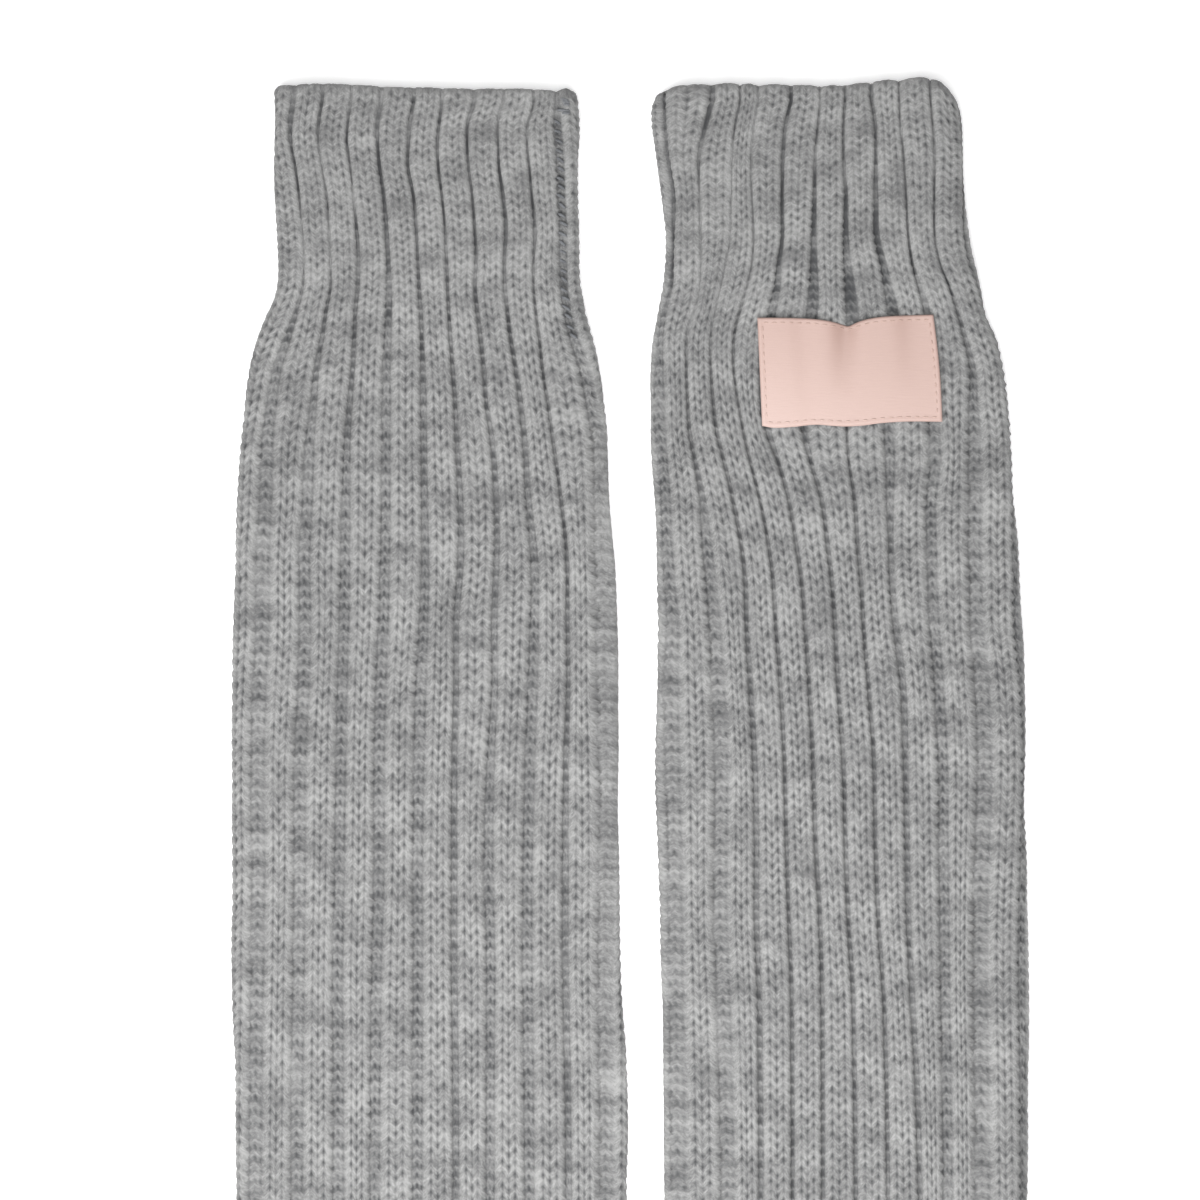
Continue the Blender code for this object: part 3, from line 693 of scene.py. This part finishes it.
def knit_tube(warmer):
    """What the mesh keeps for each point, and how many columns lie on the upper side."""
    chance = np.random.default_rng(SEED + len(warmer.side))
    tables = oval_tables(warmer)
    count, starts, last_row = row_scale(warmer)
    row, wale, face_count = lattice(warmer, last_row)
    part = wale - np.floor(wale)
    number = np.floor(wale).astype(int) % REPEAT
    by_seam = np.floor(wale) == warmer.seam_wale

    # Where the points lie. The width of a wale tells a wide groove from a narrow one.
    wandering = row + rows_wander(wale, row, chance)
    near = np.clip(np.interp(wandering, count, starts), TURN_FROM, TURN_TO)
    width = smooth_tube(warmer, tables, wale, near)[1]
    narrow = np.clip((WIDE_AT - width) / (WIDE_AT - NARROW_AT), 0.0, 1.0)
    uneven = each_hole(wale, row, chance)
    slanted, bent = bend_yarn(row, wale, number, part, narrow, uneven)
    level = np.interp(wandering + slanted - row, count, starts)
    placed, facing, turned_in = lay_on_tube(warmer, tables, wale, bent, level)

    # Relief of the stitches and depth of the grooves.
    relief = stitch_height(number, part, row, narrow)
    calm = narrow * np.interp(level, CALM_TO, [1.0, 0.0])
    height = np.where(number == 1, relief + (0.5 - relief) * calm * CUFF_CALM, relief)
    height = 1.0 - (1.0 - height) * uneven * np.interp(level, TIGHT_LEVELS, HOLE_DEPTHS)
    in_cuff = fading(level, CUFF_TO, 16.0)
    deep = np.maximum(narrow, CUFF_DEEP * fading(level, CUFF_TO - 4.0, 10.0))
    sewn = by_seam * fading(level, CUFF_TO, 8.0)
    sink, dip = rib_depth(number, part, deep)
    bead = BEAD_MEAN + slow_noise(wale, row, chance, BEADS) * (BEAD_LEG + in_cuff)
    sink = sink * np.where(number == 1, np.clip(bead + 0.2, 0.3, 1.2), 1.0)
    sink = sink * (1.0 - SEWN_SHALLOW * sewn)
    opened = opening(warmer, number, width, level)
    puff = slow_noise(wale, row, chance, PUFFS)
    lift = (STRAND * height - sink * opened + puff) * (1.0 - PRESSED * turned_in)
    points = placed + facing * lift[..., None]
    points[..., 2] = np.maximum(points[..., 2], REST)

    # Painted shade for the yarn's colour: darker holes and grooves, where shade falls.
    flat = np.where(number == 1, np.interp(width, STRETCHED, [0.0, 1.0]), 0.0)
    flat = flat * np.where(by_seam, SEAM_STRETCH, 1.0)
    shade = bead * groove_shade(relief, uneven, calm, narrow, deep, in_cuff)
    shade = shade * (1.0 - FLAT_LIGHTER * flat) * (1.0 - SEWN_LIGHTER * sewn)
    found = {
        "points": points,
        "places": np.stack([wale, row], axis=-1),
        "hole": np.clip((1.0 - height) * (1.0 - 0.5 * FLAT_LIGHTER * flat), 0.0, 1.0),
        "groove": np.clip(dip * opened * shade, 0.0, 1.0),
        "heather": heather(wale, slanted, chance),
    }
    closed = {name: np.concatenate([a, a[:, :1]], axis=1) for name, a in found.items()}
    closed["places"][:, -1, 0] += WALES
    return closed, face_count


# %% [markdown]
# ## From points to a mesh
#
# A grid of points becomes a mesh of quads. NumPy fills Blender's arrays in one go, which is
# far quicker than adding faces one by one. The wale and row of each point go into a UV map. The
# painted shade of its hole, which follows how deep it lies in its stitch, the painted shade of
# its groove, and the heather tone of its thread go into attributes, where the yarn's material
# finds them.


# %% What a mesh keeps
def keep_places(mesh, places):
    layer = mesh.uv_layers.new(name="stitches")
    layer.data.foreach_set("uv", places.astype(np.float32).ravel())


def keep_number(mesh, name, values):
    """Keeps one number with each point, for a material to read."""
    layer = mesh.attributes.new(name, "FLOAT", "POINT")
    layer.data.foreach_set("value", np.ravel(values).astype(np.float32))


def add_piece(name, mesh, material):
    """Puts a finished mesh into the scene."""
    mesh.shade_smooth()
    mesh.materials.append(material)
    piece = bpy.data.objects.new(name, mesh)
    bpy.context.scene.collection.objects.link(piece)
    return piece


# %% Grid to mesh
def grid_piece(name, grid, material):
    """grid holds points, places for the UV map, and any numbers to keep with the points."""
    rows, columns = grid["points"].shape[:2]
    numbers = np.arange(rows * columns).reshape(rows, columns)
    quads = np.stack(
        [numbers[:-1, :-1], numbers[1:, :-1], numbers[1:, 1:], numbers[:-1, 1:]], axis=-1
    ).reshape(-1, 4)
    mesh = bpy.data.meshes.new(name)
    mesh.vertices.add(rows * columns)
    mesh.vertices.foreach_set("co", (grid["points"] * MM).astype(np.float32).ravel())
    mesh.loops.add(quads.size)
    mesh.loops.foreach_set("vertex_index", quads.astype(np.int32).ravel())
    mesh.polygons.add(len(quads))
    mesh.polygons.foreach_set("loop_start", np.arange(0, quads.size, 4, dtype=np.int32))
    mesh.update(calc_edges=True)
    keep_places(mesh, grid["places"].reshape(-1, 2)[quads.ravel()])
    for label in sorted(grid.keys() - {"points", "places"}):
        keep_number(mesh, label, grid[label])
    print(name, "has", 2 * len(quads), "triangles")
    return add_piece(name, mesh, material)


# %% [markdown]
# ## Colours and nodes
#
# Colours are written as the hex values that a designer reads off a shade card. Blender works
# with linear light, so one function turns them. A second one adds a node with its settings and
# links, and its inputs are filled in the same way as the shader's own.


# %% Helpers for materials
def shade_card(code):
    """An sRGB hex colour as linear RGBA."""
    parts = [int(code[i:i + 2], 16) / 255.0 for i in (1, 3, 5)]
    linear = [p / 12.92 if p <= 0.04045 else ((p + 0.055) / 1.055) ** 2.4 for p in parts]
    return (*linear, 1.0)


def fill(material, node, inputs):
    """A socket is linked to the input with its name or number, a plain value is put on it."""
    for name, value in inputs.items():
        if isinstance(value, bpy.types.NodeSocket):
            material.node_tree.links.new(value, node.inputs[name])
        else:
            node.inputs[name].default_value = value


def add_node(material, kind, inputs, **settings):
    node = material.node_tree.nodes.new("ShaderNode" + kind)
    for name, value in settings.items():
        setattr(node, name, value)
    fill(material, node, inputs)
    return node


def new_material(name):
    material = bpy.data.materials.new(name)
    material.use_nodes = True
    shader = material.node_tree.nodes["Principled BSDF"]
    return material, shader


def along_stitches(material, across, down, detail, rough=0.55):
    """Noise along the threads: a small number across or down draws it out that way."""
    places = add_node(material, "UVMap", {}, uv_map="stitches").outputs["UV"]
    inputs = {"Vector": places, "Scale": (across, down, 1.0)}
    spread = add_node(material, "Mapping", inputs).outputs[0]
    inputs = {"Vector": spread, "Scale": 1.0, "Detail": detail, "Roughness": rough}
    return add_node(material, "TexNoise", inputs).outputs["Fac"]


# %% [markdown]
# ## Heather wool yarn
#
# Heather yarn is spun from light and dark fibres that were dyed before spinning, so its grey
# changes a little along the thread. The thread runs along the rows, so the changes are a few
# stitches wide and one or two rows tall. Wool is matt: its fibres scatter light, so roughness is
# high and a little sheen lightens the edges. Between the strands almost no light comes back out,
# and that shade is painted into the colour: holes and grooves are mixed towards a dark grey.

# %% Yarn
YARN_LIGHT = "#9D9D9C"
YARN_DARK = "#707070"
# painted shade, mixed into the yarn in its holes and grooves
PAINTED_SHADE_GREY = "#3C3D3F"
Patches = namedtuple("Patches", "across down detail weight")
PATCHES = (
    Patches(0.22, 0.28, 2.0, 1.55),  # wide patches of light and dark
    Patches(0.50, 0.45, 1.0, 1.0),  # the thread's own changes
    Patches(5.5, 4.5, 4.0, 2.2),  # single fibres
)
HEATHER_WEIGHT = 0.09  # of the shade that is kept with each stitch
MIDDLE_SHADE = 1.86  # taken off, so that the sum falls between the dark yarn and the light one
# share of the groove's painted shade that is mixed in
GROOVE_PAINTED_SHADE = 0.85


def heather_yarn(name, light, dark):
    material, shader = new_material(name)
    kept = {
        label: add_node(material, "Attribute", {}, attribute_name=label).outputs["Fac"]
        for label in ("heather", "hole", "groove")
    }

    # How light the yarn is: the shade of its stitch and the patches, each by its weight.
    parts = [(kept["heather"], HEATHER_WEIGHT)]
    for across, down, detail, weight in PATCHES:
        parts.append((along_stitches(material, across, down, detail), weight))
    share = -MIDDLE_SHADE
    for part, weight in parts:
        inputs = {0: part, 1: weight, 2: share}
        share = add_node(material, "Math", inputs, operation="MULTIPLY_ADD").outputs[0]

    # From dark yarn to light, and then painted shade: holes and grooves are mixed towards dark
    # grey.
    inputs = {0: kept["groove"], 1: GROOVE_PAINTED_SHADE}
    groove = add_node(material, "Math", inputs, operation="MULTIPLY").outputs[0]
    colour = shade_card(dark)
    for share, second in ((share, light), (kept["hole"], PAINTED_SHADE_GREY), (groove, PAINTED_SHADE_GREY)):
        inputs = {"Factor": share, 6: colour, 7: shade_card(second)}
        colour = add_node(material, "Mix", inputs, data_type="RGBA").outputs[2]
    inputs = {
        "Height": along_stitches(material, 9.0, 4.0, 4.0),
        "Strength": 0.5,
        "Distance": 0.5 * MM,
    }
    fill(material, shader, {
        "Base Color": colour,
        "Normal": add_node(material, "Bump", inputs).outputs[0],
        "Roughness": 0.95,
        "Specular IOR Level": 0.2,
        "Sheen Weight": 0.15,
        "Sheen Roughness": 0.6,
    })
    return material


yarn = heather_yarn("heather wool yarn, rib knit", YARN_LIGHT, YARN_DARK)

# %% [markdown]
# ## The four pieces of each leg warmer
#
# The tube is cut where the cuff ends and along its two sides, which gives an upper and an under
# piece for the cuff and for the leg. They share their border points, so no gap shows.


def lay_sheet(piece, node):
    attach(piece, "root")
    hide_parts(node)


for warmer in (LEFT, RIGHT):
    tube, face_count = knit_tube(warmer)
    seam_row = (CUFF_ROWS + ROWS_INSIDE_RIM) * ROW_STEPS
    for name, rows in (("cuff", slice(0, seam_row + 1)), ("leg", slice(seam_row, None))):
        for side, columns in (
            ("under", slice(face_count, None)),
            ("upper", slice(0, face_count + 1)),
        ):
            cut = {label: values[rows, columns] for label, values in tube.items()}
            piece = grid_piece(f"{warmer.side}_{name}_{side}", cut, yarn)
            lay_sheet(piece, f"{warmer.side}_{name}")

# %% [markdown]
# ## The satin label
#
# The label is a piece of pale satin ribbon, sewn flat over the ribs and left bare here. Its top
# edge sags a little between the ribs, and soft troughs run down from it, one of them deep. It is
# a grid again, this time with a thin edge turned down all round.

# %% Label sizes
Corner = namedtuple("Corner", "across from_top")
LABEL = {
    "top_left": Corner(-23.2, 65.1),
    "top_right": Corner(24.3, 64.3),
    "bottom_left": Corner(-21.9, 94.3),
    "bottom_right": Corner(26.8, 93.2),
}
LABEL_WIDE = 48.0
LABEL_TALL = 29.0
DIP = 2.7  # how far the top edge is drawn down between two ribs
DIP_AT = 0.517
DIP_ROUND = 0.012  # the tip of the sag is rounded over this share of the width
DIP_REACH = (0.13, 0.09)  # shares of the width, to the left and to the right
Wave = namedtuple("Wave", "u drop")
LOWER_EDGE = rows_of(Wave, (
    (0.00, 0.00),
    (0.04, 0.45),
    (0.17, 0.50),
    (0.28, 0.05),
    (0.47, 0.70),
    (0.57, 0.50),
    (0.64, 0.10),
    (0.79, -0.25),
    (1.00, 0.00),
))
RIGHT_EDGE_BULGE = 0.45
LABEL_THICK = 0.55
LABEL_ABOVE = 0.45  # clear of the ribs' own height
Trough = namedtuple("Trough", "middle half depth reach lean")
TROUGHS = rows_of(Trough, (
    (0.50, 0.065, 1.15, 0.75, -0.05),
    (0.86, 0.070, 0.60, 0.75, -0.04),
    (0.24, 0.060, 0.25, 1.60, 0.03),
))
print("label is", LABEL["top_right"].across - LABEL["top_left"].across, "mm wide")


# %% Label surface
def in_trough(trough, u, v, spread=1.0):
    """1 along the middle line of a trough, less and less to both sides."""
    middle = trough.middle + trough.lean * v
    return np.exp(-(((u - middle) / (spread * trough.half)) ** 2))


def label_points(u, v, lift):
    """u across and v down the label, both from 0 to 1."""
    def between(name):
        at = {corner: getattr(place, name) for corner, place in LABEL.items()}
        top = at["top_left"] * (1 - u) + at["top_right"] * u
        low = at["bottom_left"] * (1 - u) + at["bottom_right"] * u
        return top * (1 - v) + low * v

    across = between("across") + RIGHT_EDGE_BULGE * u**4 * np.sin(np.pi * v)
    to_dip = np.sqrt((u - DIP_AT) ** 2 + DIP_ROUND**2) - DIP_ROUND
    dip = DIP * np.exp(-to_dip / np.where(u < DIP_AT, *DIP_REACH)) * (1.0 - v) ** 3
    from_top = between("from_top") + dip
    from_top = from_top + curve(u, LOWER_EDGE, "drop") * v**4
    height = curve(from_top, RIGHT_LEVELS, "thick") + LABEL_ABOVE
    for trough in TROUGHS:
        fade = np.clip(1.0 - v / trough.reach, 0.0, 1.0) ** 1.2
        height = height - trough.depth * in_trough(trough, u, v) * fade
    x = RIGHT.middle_x + across
    return np.stack([x, RIGHT.top_y - from_top, height + lift], axis=-1)


# %% [markdown]
# ## Satin
#
# Satin is woven so that long threads float over the surface, which gives it a soft gloss along
# them. They are finer than a tenth of a millimetre. Here they are drawn about half a millimetre
# apart, so that they show at all, as faint streaks in colour and bump. Where the ribbon turns
# from the light and into its troughs, its pink is painted darker and richer, as painted shade:
# each point carries a number for that.


# %% Satin ribbon
def satin(name, code):
    material, shader = new_material(name)
    floats = along_stitches(material, 0.25, 2.0, detail=3.0, rough=0.6)
    # the painted shade that each point carries
    painted_shade = add_node(material, "Attribute", {}, attribute_name="painted_shade").outputs["Fac"]

    # The threads streak it, and painted shade makes it darker and a richer pink where it turns
    # from the light.
    dye_and_painted_shade = {"Color": shade_card(code), "Value": 0.975, "Saturation": 1.0}
    for name, part, weight in (
        ("Value", floats, 0.05),
        ("Value", painted_shade, -0.24),
        ("Saturation", painted_shade, 0.19),
    ):
        inputs = {0: part, 1: weight, 2: dye_and_painted_shade[name]}
        dye_and_painted_shade[name] = add_node(material, "Math", inputs, operation="MULTIPLY_ADD").outputs[0]
    inputs = {"Height": floats, "Strength": 0.22, "Distance": 0.2 * MM}
    fill(material, shader, {
        "Base Color": add_node(material, "HueSaturation", dye_and_painted_shade).outputs[0],
        "Normal": add_node(material, "Bump", inputs).outputs[0],
        "Roughness": 0.42,
        "Specular IOR Level": 0.35,
        "Sheen Weight": 0.1,
    })
    return material


pink = satin("pale pink satin ribbon", "#C1A8A0")

# %% Painted shade on the satin
PAINTED_SHADE_TROUGHS = (0.50, 0.22, 0.10)
PAINTED_SHADE_SPREAD = 1.1  # width of the painted shade, set against the trough's own


def label_painted_shade(u, v):
    """Painted shade, darker towards the upper right: 0 at the lower left corner, most in the
    troughs.
    """
    painted_shade = 0.55 * u + (0.80 - 0.45 * u) * (1.0 - v)  # 0.9 at the upper right corner
    for trough, weight in zip(TROUGHS, PAINTED_SHADE_TROUGHS):
        fade = np.clip(1.0 - v / trough.reach, 0.0, 1.0)
        painted_shade = painted_shade + weight * in_trough(trough, u, v, PAINTED_SHADE_SPREAD) * fade
    return painted_shade


# %% Make the label
ACROSS, DOWN = 96, 56  # steps of the grid
RIBBON_WIDE = 50.0  # as cut, which is what the satin's threads follow
u, v = np.meshgrid(np.linspace(0, 1, ACROSS + 1), np.linspace(0, 1, DOWN + 1))
to_edge = np.minimum(np.minimum(u, 1 - u) * LABEL_WIDE, np.minimum(v, 1 - v) * LABEL_TALL)

# The ribbon is doubled along its folded edge, and the edge itself is rounded.
fold = 0.16 * np.exp(-((to_edge - 0.5) / 0.5) ** 2) - 0.12 * np.exp(-to_edge / 0.2)
top = label_points(u, v, LABEL_THICK + fold)
rimmed = np.pad(top, ((1, 1), (1, 1), (0, 0)), mode="edge")
rimmed[[0, -1], :, 2] -= LABEL_THICK
rimmed[1:-1, [0, -1], 2] -= LABEL_THICK
ribbon = np.linspace(0, RIBBON_WIDE, ACROSS + 3), np.linspace(0, LABEL_TALL, DOWN + 3)
uv = np.stack(np.meshgrid(*ribbon), axis=-1)
# painted shade of the satin, for each point
painted_shade = np.pad(label_painted_shade(u, v), 1, mode="edge")
label = grid_piece("satin_label", {"points": rimmed, "places": uv, "painted_shade": painted_shade}, pink)
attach(label, "root")
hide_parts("label")

# %% [markdown]
# ## Sewing threads
#
# A stitch is a short strand that comes up, lies over the cloth and dives back in. All the
# stitches of a seam go into one mesh: each is a small tube round a path of a few points, thinner
# at its two ends. The label is hemmed with thread of its own colour, and the left cuff is closed
# with a row of slanting stitches in darker yarn, which ends in a small knot at the top edge.

# %% Many short strands as one mesh
STRAND_SIDES = 6
STRAND_TAPER = (0.35, 0.85, 1.0, 1.0, 1.0, 0.85, 0.35)


def strands_piece(name, paths, radius, material):
    """paths: an array of stitches, points along each and x, y, z in millimetres."""
    paths = np.asarray(paths, float)
    count, along = paths.shape[:2]
    forward = np.gradient(paths, axis=1)
    forward /= np.linalg.norm(forward, axis=-1, keepdims=True)
    aside = np.cross(forward, [0.0, 0.0, 1.0])
    aside /= np.linalg.norm(aside, axis=-1, keepdims=True)
    upward = np.cross(aside, forward)
    angle = 2.0 * np.pi * np.arange(STRAND_SIDES) / STRAND_SIDES
    ring = aside[:, :, None] * np.cos(angle)[:, None] + upward[:, :, None] * np.sin(angle)[:, None]
    thick = radius * np.array(STRAND_TAPER)[None, :, None, None]
    points = (paths[:, :, None] + ring * thick) * MM
    corner = np.arange(STRAND_SIDES)
    rings = np.arange(count * along).reshape(count, along, 1) * STRAND_SIDES + corner
    near, far = rings[:, :-1], rings[:, 1:]
    quads = np.stack([near, np.roll(near, -1, -1), np.roll(far, -1, -1), far], axis=-1)
    caps = np.concatenate([rings[:, 0, ::-1], rings[:, -1]])
    faces = quads.reshape(-1, 4).tolist() + caps.tolist()
    mesh = bpy.data.meshes.new(name)
    mesh.from_pydata(points.reshape(-1, 3).tolist(), [], faces)

    # Each stitch reads its noise from another place, so no two look alike.
    stitch, place = np.divmod(np.concatenate(faces), along * STRAND_SIDES)
    across = 0.37 * stitch + 0.02 * place
    down = 0.21 * stitch + 0.2 * (place % STRAND_SIDES)
    keep_places(mesh, np.stack([across, down], axis=-1))
    print(name, "has", count, "stitches")
    return add_piece(name, mesh, material)


# %% The label's hem stitches
HEM_INSET = 1.3
STITCH = 1.5
STITCH_STEP = 2.3
HEM_THREAD = 0.19  # radius
ALONG_TOP = HEM_INSET + 0.9, LABEL_WIDE - HEM_INSET - 0.8  # clear of the corners
ALONG_SIDE = HEM_INSET + 1.6, LABEL_TALL - HEM_INSET - 1.4
steps = np.linspace(-0.5, 0.5, len(STRAND_TAPER))
rise = 0.16 * (1.0 - (2.0 * steps) ** 4) - 0.12  # the ends dip into the satin


def hem_path(across, down):
    """A stitch on the label, from places in millimetres from its top left corner."""
    points = label_points(across / LABEL_WIDE, down / LABEL_TALL, LABEL_THICK)
    points[:, 2] += rise
    return points


hem = []
for middle in np.arange(*ALONG_TOP, STITCH_STEP):
    for down in (HEM_INSET, LABEL_TALL - HEM_INSET):
        hem.append((middle + STITCH * steps, down + 0.0 * steps))
for middle in np.arange(*ALONG_SIDE, STITCH_STEP):
    for across in (HEM_INSET, LABEL_WIDE - HEM_INSET):
        hem.append((across + 0.0 * steps, middle + STITCH * steps))
thread = satin("pale pink sewing thread", "#C6AEA4")
piece = strands_piece("label_stitches", [hem_path(*places) for places in hem], HEM_THREAD, thread)
# painted shade of the satin under each hem stitch, carried by its thread
turned = [label_painted_shade(a / LABEL_WIDE, d / LABEL_TALL) for a, d in hem]
keep_number(piece.data, "painted_shade", np.repeat(np.ravel(turned), STRAND_SIDES))
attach(piece, "root")
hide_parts("label")

# %% The left cuff's side seam
SEAM_FROM = 10.5
SEAM_TO = 70.0
SEAM_STEP = 2.5
SEAM_REACH = 1.1  # half the width of a stitch
SEAM_FALL = 1.25  # how far a stitch runs down from its left end to its right end
SEAM_LIFT = -0.15  # above the tube's smooth side: the stitches lie in a groove
KNOT_LIFT = 0.35
SEAM_ARCH = 0.3
SEAM_YARN = 0.42  # radius
Dash = namedtuple("Dash", "from_top middle half fall")
KNOT = rows_of(Dash, (
    (4.3, 37.2, 1.1, 0.5),
    (4.9, 37.5, 1.2, 0.1),
    (5.6, 37.7, 0.9, 0.2),
    (7.2, 36.9, 1.9, 0.2),
    (7.9, 37.5, 1.2, -0.1),
))


def upper_height(tables, across, from_top):
    """Height of the smooth tube's upper side."""
    level = int(round(float(np.mean(from_top)) / GRID[1]))
    turn = int(np.argmax(tables["x"][level]))
    return np.interp(across, tables["x"][level, :turn], tables["height"][level, :turn])


tables = oval_tables(LEFT)
chance = np.random.default_rng(SEED)
seam = []
for level in np.arange(SEAM_FROM, SEAM_TO, SEAM_STEP):
    middle = float(curve(level, LEFT_GROOVES, "g10")) + chance.uniform(-0.2, 0.2)
    half = SEAM_REACH * chance.uniform(0.8, 1.1)
    fall = SEAM_FALL * chance.uniform(0.6, 1.3)
    dash = Dash(level + chance.uniform(-0.25, 0.25), middle, half, fall)
    seam.append((dash, SEAM_LIFT))
seam += [(dash, KNOT_LIFT) for dash in KNOT]
paths = []
for dash, lift in seam:
    across = dash.middle + 2.0 * dash.half * steps
    from_top = dash.from_top + dash.fall * steps
    arch = SEAM_ARCH * (1.0 - (2.0 * steps) ** 2)
    height = upper_height(tables, across, from_top) + lift + arch
    paths.append(np.stack([LEFT.middle_x + across, LEFT.top_y - from_top, height], axis=-1))
seam_yarn = heather_yarn("dark grey wool yarn, sewn seam", "#747679", "#5B5D60")
piece = strands_piece("cuff_seam", paths, SEAM_YARN, seam_yarn)
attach(piece, "root")
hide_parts("left_cuff")

# %% [markdown]
# ## Floor, light and camera
#
# The pair lies on a white table under a wide soft light, seen from straight above. The camera
# has a long lens, far away, so that nothing leans outwards. It takes in the cuffs and most of
# the legs, whose lower ends run out of the picture. The table glows a little, like a light
# table, which keeps it a clean white and the shadows faint.

# %% Floor
WHITE = (1.0, 1.0, 1.0, 1.0)
material, shader = new_material("matt white table")
fill(material, shader, {
    "Base Color": shade_card("#FCFCFC"),
    "Roughness": 0.9,
    "Specular IOR Level": 0.1,
    "Emission Color": WHITE,
    "Emission Strength": 0.25,  # lit from below: shadows stay faint
})
bpy.ops.mesh.primitive_plane_add(size=6.0, location=(0.0, 0.0, -0.2 * MM))
floor = bpy.context.object
floor.name = "floor"
floor.data.materials.append(material)

# %% Camera
FRAME_WIDTH = 324.3  # millimetres that the picture takes in
LENS = 200.0
SENSOR = 36.0
CLOTH_TOP = 6.0  # height at which that width is measured
CENTRE_X = -8.38  # the point of the table that the camera stands over
CENTRE_Y = 75.65
camera_data = bpy.data.cameras.new("camera")
camera_data.lens = LENS
camera_data.sensor_width = SENSOR
camera = bpy.data.objects.new("camera", camera_data)
distance = FRAME_WIDTH * LENS / SENSOR + CLOTH_TOP
camera.location = (CENTRE_X * MM, CENTRE_Y * MM, distance * MM)
bpy.context.scene.collection.objects.link(camera)
bpy.context.scene.camera = camera
print("camera is", round(distance), "mm above the table")


# %% Light
def soft_box(name, place, size, watts):
    """A square lamp, turned to face the middle of the table."""
    data = bpy.data.lights.new(name, "AREA")
    data.shape = "SQUARE"
    data.size = size
    data.energy = watts
    light = bpy.data.objects.new(name, data)
    light.location = place
    light.rotation_euler = (
        math.atan2(math.hypot(place[0], place[1]), place[2]),
        0.0,
        math.atan2(place[1], place[0]) + math.pi / 2,
    )
    bpy.context.scene.collection.objects.link(light)


soft_box("overhead", (0.0, 0.08, 1.30), 0.8, 8.6)
soft_box("near", (-0.06, -0.15, 0.42), 0.5, 2.42)
soft_box("side", (-0.40, -0.42, 0.75), 0.5, 3.3)
world = bpy.data.worlds.new("soft room")
world.use_nodes = True
background = world.node_tree.nodes["Background"]
background.inputs["Color"].default_value = WHITE
background.inputs["Strength"].default_value = 0.32
bpy.context.scene.world = world
bpy.context.scene.view_settings.view_transform = "Standard"
